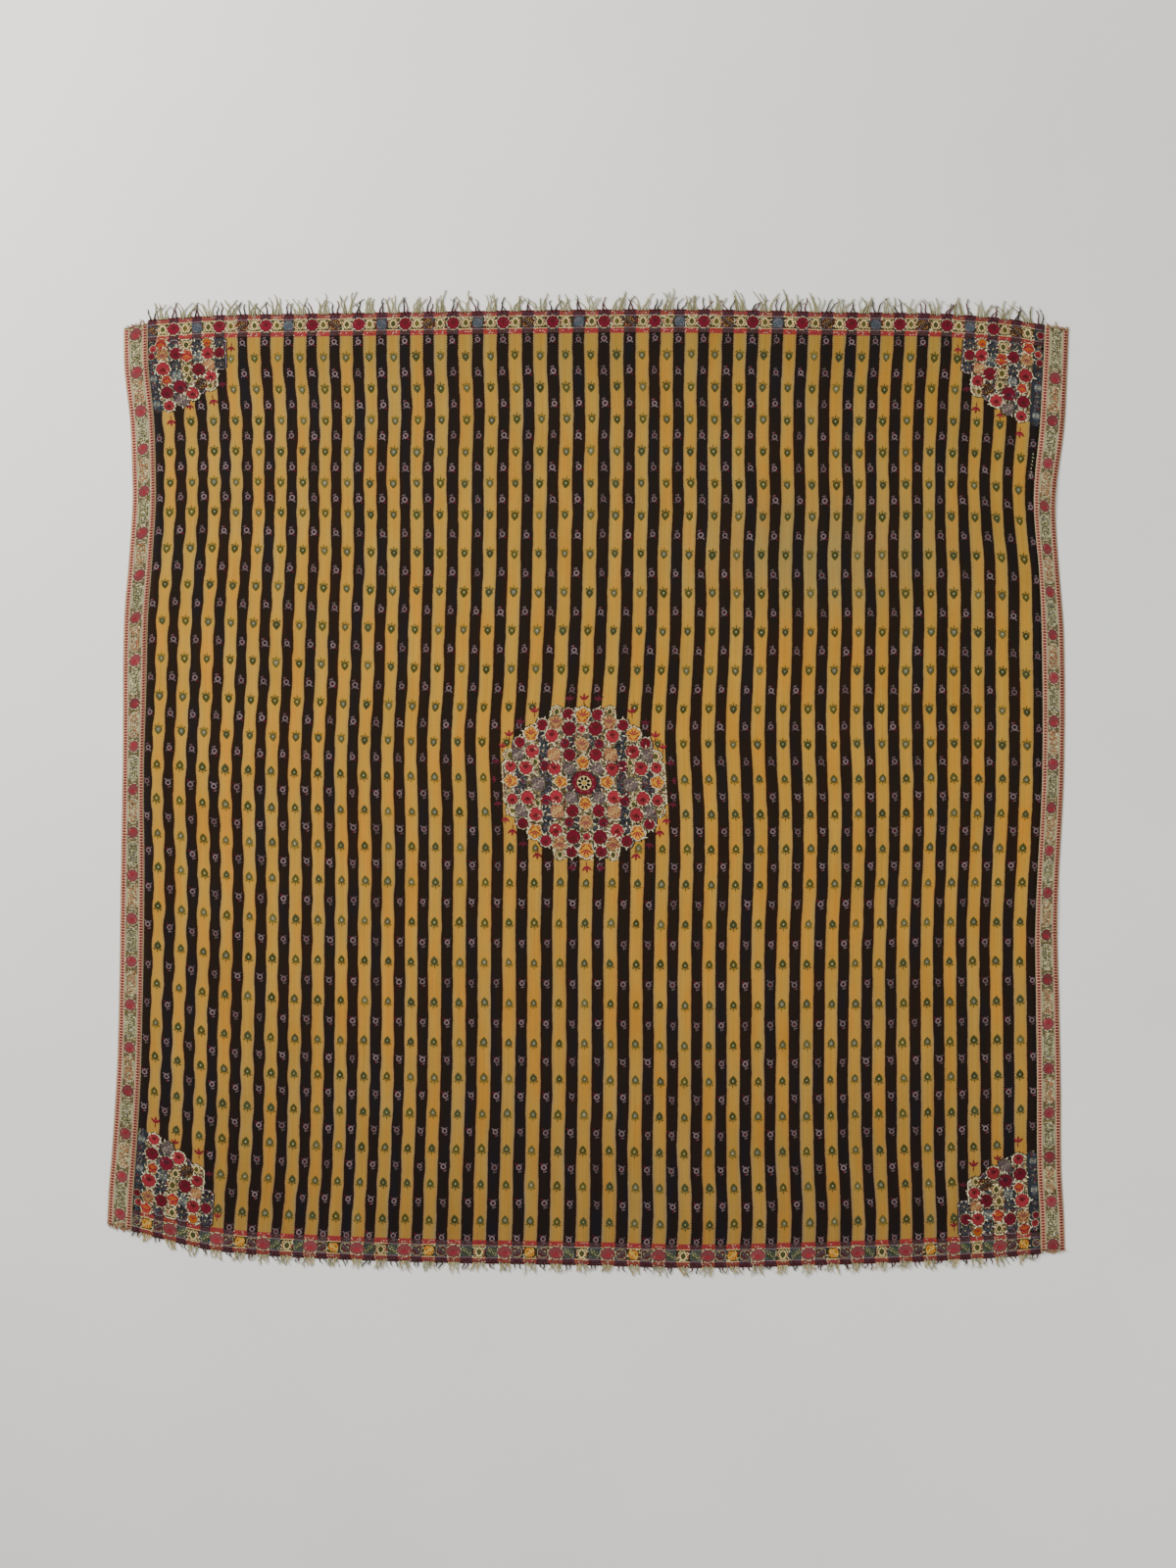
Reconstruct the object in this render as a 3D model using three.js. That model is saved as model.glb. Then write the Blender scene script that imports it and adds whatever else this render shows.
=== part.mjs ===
// Moon shawl laid flat: a square striped field, a narrow border sewn along each side,
// and the warp ends left as a fringe at the top and the bottom.
// Millimetres, +Z up. X runs across the stripes and Y along them, towards the top end.
// The origin is on the resting surface, under the middle of the shawl.
import * as THREE from 'three';

// Sizes of the flat cut
const clothWidth = 1760; // across the stripes, outer edge to outer edge
const clothLength = 1785; // along the stripes, without the fringe
const sideBorderWidth = 45;
const seamGap = 0.3; // between pieces that meet
const clothWall = 1.6;

// Sizes of the fringe
const backingDepth = 2.2; // narrow strip that holds the roots
const backingHeight = 1.2;
const rootWidth = 1.6;
const tipWidth = 0.8;
const strandRise = 1.9; // height of a strand's middle line where it arches
const strandTipHeight = 0.8; // height of its middle line at the free end
const pairSpread = 6; // from a yellow stripe's middle line to each of its two strands
const strandStray = 2.2; // most that a strand leans away from the common sweep
const strandCurl = 1.6; // most that it curls to one side and back

// How finely the cloth is stepped
const fieldColumns = 30;
const clothRows = 36;
const borderColumns = 2;
const strandSteps = 3;

const halfWidth = clothWidth / 2;
const halfLength = clothLength / 2;
const seamAcross = halfWidth - sideBorderWidth;

// Where the laid cloth's side edges lie, from the bottom end to the top end
const sides = [
  { along: -890, left: -898, right: 891 },
  { along: -822, left: -895, right: 889 },
  { along: -730, left: -888, right: 884 },
  { along: -566, left: -879, right: 883 },
  { along: -401, left: -875, right: 880 },
  { along: -236, left: -873, right: 877 },
  { along: 38, left: -869, right: 889 },
  { along: 295, left: -867, right: 889 },
  { along: 423, left: -858, right: 880 },
  { along: 533, left: -851, right: 873 },
  { along: 587, left: -851, right: 875 },
  { along: 697, left: -855, right: 889 },
  { along: 807, left: -866, right: 895 },
  { along: 890, left: -867, right: 898 },
];

// Where its bottom and top edges lie, from the left side to the right side
const ends = [
  { across: -880, bottom: -820, top: 858 },
  { across: -835, bottom: -833, top: 868 },
  { across: -742, bottom: -857, top: 875 },
  { across: -679, bottom: -870, top: 878 },
  { across: -553, bottom: -881, top: 880 },
  { across: -301, bottom: -891, top: 884 },
  { across: 4, bottom: -897, top: 888 },
  { across: 202, bottom: -902, top: 888 },
  { across: 454, bottom: -896, top: 883 },
  { across: 643, bottom: -889, top: 880 },
  { across: 769, bottom: -882, top: 870 },
  { across: 835, bottom: -876, top: 859 },
  { across: 880, bottom: -873, top: 852 },
];

// Soft ridges that lift off the surface, each with its middle, its turn from the X axis and its reach
const ridges = [
  { across: -640, along: 560, turn: -8, length: 230, width: 52, height: 3.9 },
  { across: 735, along: 540, turn: 12, length: 190, width: 50, height: 3.6 },
  { across: 60, along: 452, turn: 1, length: 420, width: 46, height: 2.1 },
  { across: 760, along: -215, turn: -10, length: 170, width: 55, height: 3.2 },
  { across: -690, along: -650, turn: 58, length: 150, width: 46, height: 3.0 },
  { across: 190, along: -700, turn: 74, length: 120, width: 42, height: 2.0 },
  { across: -760, along: -60, turn: 18, length: 120, width: 50, height: 2.4 },
  { across: 420, along: 190, turn: -30, length: 190, width: 58, height: 1.8 },
];
const restBand = 0.2; // what is lower than this lies on the surface
const flatEnd = 90; // the ridges fade out over this length at both ends

// Middle line of some of the yellow stripes, counted from the left
const stripes = [
  { stripe: -0.5, across: -827 },
  { stripe: 0, across: -808 },
  { stripe: 4, across: -637 },
  { stripe: 8, across: -465 },
  { stripe: 12, across: -290 },
  { stripe: 16, across: -104 },
  { stripe: 20, across: 87 },
  { stripe: 24, across: 269 },
  { stripe: 28, across: 454 },
  { stripe: 32, across: 632 },
  { stripe: 36, across: 804 },
  { stripe: 36.5, across: 827 },
];
const lastStripe = 36;

// Each side border's ends lie a little inside the field's
const sideBorders = [
  { name: 'left', side: -1, topSlip: 7, bottomSlip: 0.5 },
  { name: 'right', side: 1, topSlip: 2, bottomSlip: 5 },
];

// How far the fringe reaches at each end, and how far it is swept sideways
const fringes = [
  { name: 'top', end: 1, length: 29.5, uneven: 6, sweep: 9, waves: 4.5 },
  { name: 'bottom', end: -1, length: 18, uneven: 4, sweep: 5, waves: 6.5 },
];
const fray = { length: 8, uneven: 2, strands: 3 };

const finishes = {
  field: { color: 0xa97a30, roughness: 0.9, metalness: 0 },
  sideBorder: { color: 0xc07f6c, roughness: 0.88, metalness: 0 },
  fringe: { color: 0xa39c7c, roughness: 0.95, metalness: 0 },
};

// A smooth curve through one column of a table, read at its key column
function curveThrough(table, key, value) {
  const last = table.length - 1;
  const slopes = table.map((row, i) => {
    const before = table[Math.max(i - 1, 0)];
    const after = table[Math.min(i + 1, last)];
    return (after[value] - before[value]) / (after[key] - before[key]);
  });
  return (at) => {
    const above = table.findIndex((row) => row[key] > at);
    const i = above < 0 ? last - 1 : Math.max(above - 1, 0);
    const from = table[i];
    const to = table[i + 1];
    const span = to[key] - from[key];
    const f = THREE.MathUtils.clamp((at - from[key]) / span, 0, 1);
    const beyond = at - (from[key] + f * span);
    const f2 = f * f;
    const f3 = f2 * f;
    return (2 * f3 - 3 * f2 + 1) * from[value]
      + (f3 - 2 * f2 + f) * span * slopes[i]
      + (3 * f2 - 2 * f3) * to[value]
      + (f3 - f2) * span * slopes[i + 1]
      + beyond * slopes[f > 0 ? i + 1 : i];
  };
}

const leftEdge = curveThrough(sides, 'along', 'left');
const rightEdge = curveThrough(sides, 'along', 'right');
const bottomEdge = curveThrough(ends, 'across', 'bottom');
const topEdge = curveThrough(ends, 'across', 'top');

// The middle line of a stripe, where halves are the black stripes between
function stripeAcross(stripe) {
  const above = stripes.findIndex((row) => row.stripe >= stripe);
  const to = stripes[Math.max(above, 1)];
  const from = stripes[Math.max(above, 1) - 1];
  return THREE.MathUtils.mapLinear(stripe, from.stripe, to.stripe, from.across, to.across);
}

// How high the underside lifts off the surface at a place on the flat cut
function lift(across, along) {
  let height = 0;
  for (const ridge of ridges) {
    const turn = THREE.MathUtils.degToRad(ridge.turn);
    const dx = across - ridge.across;
    const dy = along - ridge.along;
    const run = (dx * Math.cos(turn) + dy * Math.sin(turn)) / ridge.length;
    const off = (dy * Math.cos(turn) - dx * Math.sin(turn)) / ridge.width;
    height += ridge.height * Math.exp(-run * run - off * off);
  }
  const fade = THREE.MathUtils.smoothstep(halfLength - Math.abs(along), 0, flatEnd);
  return Math.max(0, height - restBand) * fade;
}

// Takes a place on the flat cut to where it lies, at a height over the underside
function lay(across, along, up) {
  const share = across / clothWidth + 0.5;
  const run = along / clothLength + 0.5;
  return new THREE.Vector3(
    THREE.MathUtils.lerp(leftEdge(along), rightEdge(along), share),
    THREE.MathUtils.lerp(bottomEdge(across), topEdge(across), run),
    lift(across, along) + up,
  );
}

// Collects points and faces, and turns them into a geometry
function surface() {
  const points = [];
  const faces = [];
  return {
    point(place) {
      points.push(place.x, place.y, place.z);
      return points.length / 3 - 1;
    },
    quad(a, b, c, d) {
      faces.push(a, b, c, a, c, d);
    },
    geometry() {
      const geometry = new THREE.BufferGeometry();
      geometry.setAttribute('position', new THREE.Float32BufferAttribute(points, 3));
      geometry.setIndex(faces);
      geometry.computeVertexNormals();
      return geometry;
    },
  };
}

function steps(from, to, count) {
  return Array.from({ length: count + 1 }, (unused, i) => THREE.MathUtils.lerp(from, to, i / count));
}

// A wall of cloth over the given columns and rows of the flat cut, closed all round
function clothGeometry(columns, rows) {
  const wall = surface();
  const sheetAt = (up) => rows.map((along) => columns.map((across) => wall.point(lay(across, along, up))));
  const under = sheetAt(0);
  const over = sheetAt(clothWall);
  const lastRow = rows.length - 1;
  const lastColumn = columns.length - 1;
  for (let r = 0; r < lastRow; r += 1) {
    for (let c = 0; c < lastColumn; c += 1) {
      wall.quad(over[r][c], over[r][c + 1], over[r + 1][c + 1], over[r + 1][c]);
      wall.quad(under[r][c], under[r + 1][c], under[r + 1][c + 1], under[r][c + 1]);
    }
    wall.quad(under[r][0], over[r][0], over[r + 1][0], under[r + 1][0]);
    wall.quad(under[r][lastColumn], under[r + 1][lastColumn], over[r + 1][lastColumn], over[r][lastColumn]);
  }
  for (let c = 0; c < lastColumn; c += 1) {
    wall.quad(under[0][c], under[0][c + 1], over[0][c + 1], over[0][c]);
    wall.quad(under[lastRow][c], over[lastRow][c], over[lastRow][c + 1], under[lastRow][c + 1]);
  }
  return wall.geometry();
}

// An even spread of values between -1 and 1 that looks uneven, the same in each build
const goldenShare = 0.618034;
function uneven(index, start) {
  return 2 * ((index * goldenShare + start) % 1) - 1;
}

// A backing strip just past the edge of some cloth, with one strand out of it for each row in strands
function fringeGeometry(columns, edgeAlong, end, strands) {
  const fringe = surface();
  const edgePlace = (across, out, up) => {
    const above = columns.findIndex((column) => column > across);
    const i = above < 0 ? columns.length - 2 : Math.max(above - 1, 0);
    const share = (across - columns[i]) / (columns[i + 1] - columns[i]);
    const along = edgeAlong + end * (seamGap + out);
    const from = lay(columns[i], along, up);
    return from.lerp(lay(columns[i + 1], along, up), share);
  };
  const station = (across) => ({
    innerUnder: fringe.point(edgePlace(across, 0, 0)),
    innerOver: fringe.point(edgePlace(across, 0, backingHeight)),
    outerUnder: fringe.point(edgePlace(across, backingDepth, 0)),
    outerOver: fringe.point(edgePlace(across, backingDepth, backingHeight)),
  });
  const face = (a, b, c, d) => (end > 0 ? fringe.quad(a, b, c, d) : fringe.quad(d, c, b, a));
  const cap = (at, first) => {
    const ring = [at.innerUnder, at.outerUnder, at.outerOver, at.innerOver];
    const order = first ? ring.reverse() : ring;
    face(...order);
  };
  const grow = (strand, left, right) => {
    let ring = [left.outerUnder, left.outerOver, right.outerOver, right.outerUnder];
    const root = edgePlace(strand.across, backingDepth, backingHeight / 2);
    for (let step = 1; step <= strandSteps; step += 1) {
      const t = step / strandSteps;
      const half = THREE.MathUtils.lerp(rootWidth, tipWidth, t) / 2;
      const height = t < 1 ? strandRise : strandTipHeight;
      const sideways = strand.sweep * t * t + strand.curl * Math.sin(Math.PI * 2 * t);
      const middle = new THREE.Vector3(root.x + sideways, root.y + end * strand.length * t, height);
      const corner = (dx, dz) => fringe.point(new THREE.Vector3(middle.x + dx, middle.y, middle.z + dz));
      const thin = Math.min(half, strandTipHeight / 2);
      const next = [corner(-half, -thin), corner(-half, thin), corner(half, thin), corner(half, -thin)];
      for (let k = 0; k < ring.length; k += 1) {
        const n = (k + 1) % ring.length;
        face(ring[k], ring[n], next[n], next[k]);
      }
      ring = next;
    }
    face(...ring);
  };

  // stations along the strip: both flanks of each root, and the cloth's own corners between them
  const clearOfRoots = (column) => strands.every((strand) => Math.abs(strand.across - column) > rootWidth);
  const stations = [
    ...columns.filter(clearOfRoots).map((across) => ({ across })),
    ...strands.map((strand) => ({ across: strand.across - rootWidth / 2, strand })),
    ...strands.map((strand) => ({ across: strand.across + rootWidth / 2 })),
  ].sort((a, b) => a.across - b.across);
  const places = stations.map(({ across }) => station(across));
  for (let i = 0; i < places.length - 1; i += 1) {
    const a = places[i];
    const b = places[i + 1];
    face(a.innerUnder, b.innerUnder, b.innerOver, a.innerOver);
    face(a.innerOver, b.innerOver, b.outerOver, a.outerOver);
    face(a.innerUnder, a.outerUnder, b.outerUnder, b.innerUnder);
    if (stations[i].strand) grow(stations[i].strand, a, b);
    else face(a.outerOver, b.outerOver, b.outerUnder, a.outerUnder);
  }
  cap(places[0], true);
  cap(places[places.length - 1], false);
  return fringe.geometry();
}

const shawl = new THREE.Group();
shawl.name = 'moon_shawl';

function addPiece(name, geometry, finish) {
  const piece = new THREE.Mesh(geometry, new THREE.MeshStandardMaterial(finish));
  piece.name = name;
  shawl.add(piece);
}

// Field
const fieldEdge = seamAcross - seamGap / 2;
const columnsOfField = steps(-fieldEdge, fieldEdge, fieldColumns);
const rowsOfCloth = steps(-halfLength, halfLength, clothRows);
addPiece('field', clothGeometry(columnsOfField, rowsOfCloth), finishes.field);

// Side borders, with the frayed ends of each
for (const border of sideBorders) {
  const inner = border.side * (seamAcross + seamGap / 2);
  const outer = border.side * halfWidth;
  const columns = steps(Math.min(inner, outer), Math.max(inner, outer), borderColumns);
  const rows = rowsOfCloth.slice();
  rows[0] += border.bottomSlip;
  rows[clothRows] -= border.topSlip;
  addPiece(`side_border_${border.name}`, clothGeometry(columns, rows), finishes.sideBorder);

  const frayEnds = [
    { name: 'top', end: 1, edge: rows[clothRows] },
    { name: 'bottom', end: -1, edge: rows[0] },
  ];
  for (const place of frayEnds) {
    const strands = Array.from({ length: fray.strands }, (unused, i) => ({
      across: THREE.MathUtils.lerp(columns[0], columns[borderColumns], (i + 0.5) / fray.strands),
      length: fray.length + fray.uneven * uneven(i, 0.3),
      sweep: uneven(i, 0.1),
      curl: 0,
    }));
    const geometry = fringeGeometry(columns, place.edge, place.end, strands);
    addPiece(`fray_${place.name}_${border.name}`, geometry, finishes.fringe);
  }
}

// Fringe of the field: two strands to each yellow stripe, one to each black one
for (const fringe of fringes) {
  const roots = [stripeAcross(-0.5)];
  for (let stripe = 0; stripe <= lastStripe; stripe += 1) {
    roots.push(stripeAcross(stripe) - pairSpread);
    roots.push(stripeAcross(stripe) + pairSpread);
    roots.push(stripeAcross(stripe + 0.5));
  }
  const strands = roots.map((across, i) => {
    const swing = Math.sin((across / clothWidth) * fringe.waves * Math.PI * 2);
    const tame = THREE.MathUtils.smoothstep(fieldEdge - Math.abs(across), 0, sideBorderWidth);
    return {
      across,
      length: fringe.length + fringe.uneven * uneven(i, 0.2),
      sweep: tame * (fringe.sweep * swing + strandStray * uneven(i, 0.7)),
      curl: tame * strandCurl * uneven(i, 0.45),
    };
  });
  const geometry = fringeGeometry(columnsOfField, fringe.end * halfLength, fringe.end, strands);
  addPiece(`fringe_${fringe.name}`, geometry, finishes.fringe);
}

export default shawl;
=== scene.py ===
import math
import random
import bpy
import bmesh
import numpy as np
from mathutils import Matrix, Vector


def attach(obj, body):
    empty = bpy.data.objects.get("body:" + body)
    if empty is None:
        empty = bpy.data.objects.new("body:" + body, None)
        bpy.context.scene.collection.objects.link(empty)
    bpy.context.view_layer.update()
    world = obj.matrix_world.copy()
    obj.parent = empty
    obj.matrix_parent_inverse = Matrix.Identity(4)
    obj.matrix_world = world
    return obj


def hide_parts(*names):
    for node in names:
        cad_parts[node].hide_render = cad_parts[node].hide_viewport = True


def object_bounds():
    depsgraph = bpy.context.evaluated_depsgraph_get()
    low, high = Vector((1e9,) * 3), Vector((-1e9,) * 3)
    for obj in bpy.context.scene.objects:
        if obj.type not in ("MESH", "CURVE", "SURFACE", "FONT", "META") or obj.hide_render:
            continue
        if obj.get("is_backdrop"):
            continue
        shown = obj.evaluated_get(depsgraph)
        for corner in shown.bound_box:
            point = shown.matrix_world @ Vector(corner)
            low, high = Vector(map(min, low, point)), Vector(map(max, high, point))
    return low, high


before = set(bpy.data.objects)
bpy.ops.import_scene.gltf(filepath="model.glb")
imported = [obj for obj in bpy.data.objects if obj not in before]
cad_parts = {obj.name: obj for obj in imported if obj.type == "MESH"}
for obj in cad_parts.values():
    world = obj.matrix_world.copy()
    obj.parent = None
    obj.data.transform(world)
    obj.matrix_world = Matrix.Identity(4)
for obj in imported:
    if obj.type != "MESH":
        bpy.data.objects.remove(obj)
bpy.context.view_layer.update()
print("frame loaded")

# A square striped wool shawl laid flat. Lengths are millimetres on the flat cut cloth until lay() puts
# them in the room in metres: across runs over the stripes, along runs with them, up is height.
millimetre = 0.001

view = {
    "height": 7.0,  # metres above the cloth
    "frameHeight": 2.928,  # metres that the picture's long side takes in
    "aimY": 0.0018,
    "sensor": 36.0,
}


def makeCamera():
    data = bpy.data.cameras.new("camera")
    data.sensor_fit = "VERTICAL"
    data.sensor_height = view["sensor"]
    data.lens = view["sensor"] * view["height"] / view["frameHeight"]
    camera = bpy.data.objects.new("camera", data)
    camera.location = (0.0, view["aimY"], view["height"])
    bpy.context.scene.collection.objects.link(camera)
    bpy.context.scene.camera = camera


makeCamera()
print("camera placed")

# How the cloth lies

cloth = {
    "width": 1760.0,
    "length": 1785.0,
    "sideBorder": 45.0,
    "endBorder": 44.0,
    "seamGap": 0.3,
    "underside": 0.15,  # the cloth's lower face stands this far above the surface
    "wall": 1.05,  # thickness of the cloth
    "cell": 9.0,  # size of one face of the mesh
    "restBand": 0.2,  # a ridge lower than this lies flat
    "flatEnd": 90.0,  # ridges and creases die out this far from the ends
    "flatSide": 40.0,  # and creases this far from the sides
    "steadySide": 70.0,  # sways die out this far from the sides
    "steadyEnd": 60.0,  # and this far from the ends
}
halfWidth = cloth["width"] / 2
halfLength = cloth["length"] / 2
seam = halfWidth - cloth["sideBorder"]
clothTop = cloth["underside"] + cloth["wall"]
borderStart = halfLength - cloth["endBorder"]  # inner edge of an end border

# the laid edges at places along the cloth: along, left, right
sideTable = [
    (-890, -898, 891), (-822, -895, 889), (-730, -888, 884), (-566, -879, 883), (-401, -875, 880),
    (-236, -873, 877), (38, -869, 889), (295, -867, 889), (423, -858, 880), (533, -851, 873),
    (587, -851, 875), (697, -855, 889), (807, -866, 895), (890, -867, 898),
]
# the laid ends at places across the cloth: across, bottom, top
endTable = [
    (-880, -820, 858), (-835, -833, 868), (-742, -857, 875), (-679, -870, 878), (-553, -881, 880),
    (-301, -891, 884), (4, -897, 888), (202, -902, 888), (454, -896, 883), (643, -889, 880),
    (769, -882, 870), (835, -876, 859), (880, -873, 852),
]
# broad soft ridges that lift off the surface: across, along, turn, length, width, rise
ridges = [
    (-640, 560, -8, 230, 52, 3.9),
    (735, 540, 12, 190, 50, 3.6),
    (60, 452, 1, 420, 46, 2.1),
    (760, -215, -10, 170, 55, 3.2),
    (-690, -650, 58, 150, 46, 3.0),
    (190, -700, 74, 120, 42, 2.0),
    (-760, -60, 18, 120, 50, 2.4),
    (420, 190, -30, 190, 58, 1.8),
]
# narrow creases on top of them, in the same columns
creases = [
    (430, 444, 1, 330, 15, 1.1),
    (-560, 452, -2, 260, 14, 0.7),
    (0, 520, 90, 250, 16, 0.7),
    (4, -560, 90, 270, 16, 0.7),
    (-660, -690, 35, 70, 21, 1.1),
    (-600, -735, 140, 60, 20, 0.8),
    (185, -840, 62, 55, 19, 0.9),
    (640, 620, 64, 110, 20, 1.2),
    (770, 430, 118, 90, 15, 1.2),
    (-700, 640, 112, 120, 25, 1.2),
    (-780, 420, 80, 110, 15, 1.1),
    (-300, 300, 96, 170, 20, 0.6),
    (300, -420, 84, 190, 20, 0.6),
    (610, -90, 22, 140, 18, 0.8),
    (-480, -260, -16, 160, 18, 0.7),
]
# where the stripes sway sideways within the outline, with the shift as the last column
sways = [
    (0, 120, 0, 400, 140, -15.2),
    (420, 540, 0, 400, 80, 8.5),
    (-720, 0, 0, 400, 140, -7.7),
    (420, -180, 0, 400, 140, 4.9),
    (-420, 600, 0, 220, 140, -6.1),
    (840, 60, 0, 120, 420, 6.4),
    (540, 180, 0, 220, 140, -5.0),
    (480, 720, 0, 400, 80, -4.5),
    (300, -780, 0, 400, 80, 4.1),
    (780, 420, 0, 120, 80, 7.5),
    (-120, 180, 0, 400, 80, 4.3),
    (-540, -720, 0, 120, 140, 4.4),
    (480, -540, 0, 120, 140, -3.7),
    (-720, -480, 0, 120, 140, -3.7),
]
# where the flower rows climb or sink
climbs = [(-700, 260, 0, 330, 330, 14.0), (780, 560, 0, 200, 200, 5.0)]


def curveThrough(table, column):
    # a smooth curve through one column of a table, read at the first one
    keys, values = np.array(table, float).T[[0, column]]
    last = len(keys) - 1
    before = np.maximum(np.arange(last + 1) - 1, 0)
    after = np.minimum(np.arange(last + 1) + 1, last)
    slopes = (values[after] - values[before]) / (keys[after] - keys[before])

    def read(at):
        i = np.clip(np.searchsorted(keys, at, side="right") - 1, 0, last - 1)
        span = keys[i + 1] - keys[i]
        f = np.clip((at - keys[i]) / span, 0, 1)
        beyond = at - (keys[i] + f * span)
        start = (2 * f**3 - 3 * f**2 + 1) * values[i] + (f**3 - 2 * f**2 + f) * span * slopes[i]
        end = (3 * f**2 - 2 * f**3) * values[i + 1] + (f**3 - f**2) * span * slopes[i + 1]
        return start + end + beyond * slopes[np.where(f > 0, i + 1, i)]

    return read


leftEdge = curveThrough(sideTable, 1)
rightEdge = curveThrough(sideTable, 2)
bottomEdge = curveThrough(endTable, 1)
topEdge = curveThrough(endTable, 2)


def bumps(table, across, along):
    # the sum of a table's soft oval bumps at a place on the cloth
    total = np.zeros_like(across)
    for middleAcross, middleAlong, degrees, length, width, amount in table:
        turn = math.radians(degrees)
        dx = across - middleAcross
        dy = along - middleAlong
        run = (dx * math.cos(turn) + dy * math.sin(turn)) / length
        off = (dy * math.cos(turn) - dx * math.sin(turn)) / width
        total = total + amount * np.exp(-(run**2) - off**2)
    return total


def smooth(value, low, high):
    f = np.clip((value - low) / (high - low), 0, 1)
    return f * f * (3 - 2 * f)


def lay(flat):
    # flat cloth places in millimetres to laid places in metres
    across, along, up = np.asarray(flat, float).T
    fromSide = halfWidth - np.abs(across)
    fromEnd = halfLength - np.abs(along)
    inner = smooth(fromSide, 0, cloth["steadySide"]) * smooth(fromEnd, 0, cloth["steadyEnd"])
    fade = smooth(fromEnd, 0, cloth["flatEnd"])
    rise = np.maximum(bumps(ridges, across, along) - cloth["restBand"], 0) * fade
    rise = rise + bumps(creases, across, along) * fade * smooth(fromSide, 0, cloth["flatSide"])
    movedAcross = across + bumps(sways, across, along) * inner
    movedAlong = along + bumps(climbs, across, along) * inner
    left = leftEdge(movedAlong)
    bottom = bottomEdge(movedAcross)
    x = left + (rightEdge(movedAlong) - left) * (movedAcross / cloth["width"] + 0.5)
    y = bottom + (topEdge(movedAcross) - bottom) * (movedAlong / cloth["length"] + 0.5)
    return np.stack([x, y, rise + up], axis=1) * millimetre


# Stripes and flower rows

yellowStripes = 37
# middles of some stripes by their numbers: whole numbers are yellow, halves are black
stripeKeys = [-0.5, 0, 4, 8, 12, 16, 20, 24, 28, 32, 36, 36.5]
stripePlaces = [-827, -808, -637, -465, -290, -104, 87, 269, 454, 632, 804, 827]
# rows of flowers from the top: how many rows, and how far apart
rowBands = [(5, 60.0), (5, 72.0), (5, 65.5), (4, 75.0), (5, 66.6)]
firstRow = 808.3
turnRow = 45.0  # above this place the flowers hang tip down
rows = [firstRow]
for count, pitch in rowBands:
    for _ in range(count):
        rows.append(rows[-1] - pitch)


def stripeAt(stripe):
    return float(np.interp(stripe, stripeKeys, stripePlaces))


def rowAt(row):
    # past the first and the last row the pitch goes on
    if row < 0:
        return rows[0] - (rows[0] - rows[1]) * row
    if row > len(rows) - 1:
        return rows[-1] - (rows[-2] - rows[-1]) * (row - len(rows) + 1)
    return float(np.interp(row, range(len(rows)), rows))


# Dyes, as linear colour

dyes = {
    "cream": (0.460, 0.350, 0.150),
    "white": (0.650, 0.575, 0.350),
    "crimson": (0.110, 0.005, 0.014),
    "red": (0.215, 0.017, 0.024),
    "orange": (0.340, 0.080, 0.008),
    "gold": (0.440, 0.205, 0.016),
    "salmon": (0.285, 0.112, 0.078),
    "tan": (0.300, 0.150, 0.050),
    "green": (0.044, 0.046, 0.010),
    "seaGreen": (0.042, 0.048, 0.020),
    "olive": (0.085, 0.070, 0.012),
    "blueGrey": (0.058, 0.072, 0.082),
    "greyGreen": (0.090, 0.086, 0.048),
    "mauve": (0.150, 0.100, 0.108),
    "purple": (0.040, 0.010, 0.016),
    "maroon": (0.070, 0.008, 0.008),
    "shadow": (0.030, 0.020, 0.006),
    "black": (0.008, 0.005, 0.003),
    "straw": (0.270, 0.245, 0.120),
    "pale": (0.400, 0.370, 0.220),
    "dusk": (0.036, 0.020, 0.018),
    "rose": (0.150, 0.033, 0.034),
    "heather": (0.110, 0.072, 0.078),
    "slate": (0.018, 0.020, 0.024),
    "buff": (0.130, 0.096, 0.044),
}
dyeNames = list(dyes)
dyeColours = np.array(list(dyes.values()))

# Small woven shapes, in millimetres about their own middle


def turned(centre, turn):
    return Matrix.Translation((*centre, 0.0)) @ Matrix.Rotation(turn, 4, "Z")


def disc(bm, sides, outline, rings, centre=(0.0, 0.0), turn=0.0):
    # a closed flat disc: outline gives each corner's reach, rings step inwards as (scale, height, dye)
    dyeLayer = bm.faces.layers.int["dyeNumber"]
    made = bmesh.ops.create_circle(bm, cap_ends=True, segments=sides, radius=1)
    cap = made["verts"][0].link_faces[0]
    for vert in made["verts"]:
        reach = outline(math.atan2(vert.co.y, vert.co.x))
        vert.co.x *= reach[0]
        vert.co.y *= reach[1]
    moved = list(made["verts"])
    scale = 1.0
    wallDye = rings[0][2]
    cap[dyeLayer] = dyeNames.index(wallDye)
    for step, (nextScale, height, dye) in enumerate(rings):
        grown = bmesh.ops.extrude_face_region(bm, geom=[cap], use_keep_orig=step == 0)
        cap = [item for item in grown["geom"] if isinstance(item, bmesh.types.BMFace)][0]
        for vert in cap.verts:
            vert.co.x *= nextScale / scale
            vert.co.y *= nextScale / scale
            vert.co.z = height
        for edge in cap.edges:
            for face in edge.link_faces:
                face[dyeLayer] = dyeNames.index(wallDye)
        cap[dyeLayer] = dyeNames.index(dye)
        moved.extend(cap.verts)
        scale = nextScale
        wallDye = dye
    bmesh.ops.transform(bm, matrix=turned(centre, turn), verts=moved)


def even(width, height):
    return lambda angle: (width / 2, height / 2)


def lobed(size, lobes, depth):
    def reach(angle):
        swell = 1 + depth * math.cos(lobes * angle)
        return (size / 2 * swell, size / 2 * swell)

    return reach


def tipped(width, height, tip):
    # round below and pointed at the top
    def reach(angle):
        away = (angle - math.pi / 2) / 0.45
        return (width / 2, height / 2 * (1 + tip * math.exp(-away * away)))

    return reach


def blocky(width, height):
    # a square with softened corners
    def reach(angle):
        swell = min(1 / max(abs(math.cos(angle)), abs(math.sin(angle))), 1.22)
        return (width / 2 * swell, height / 2 * swell)

    return reach


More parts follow.
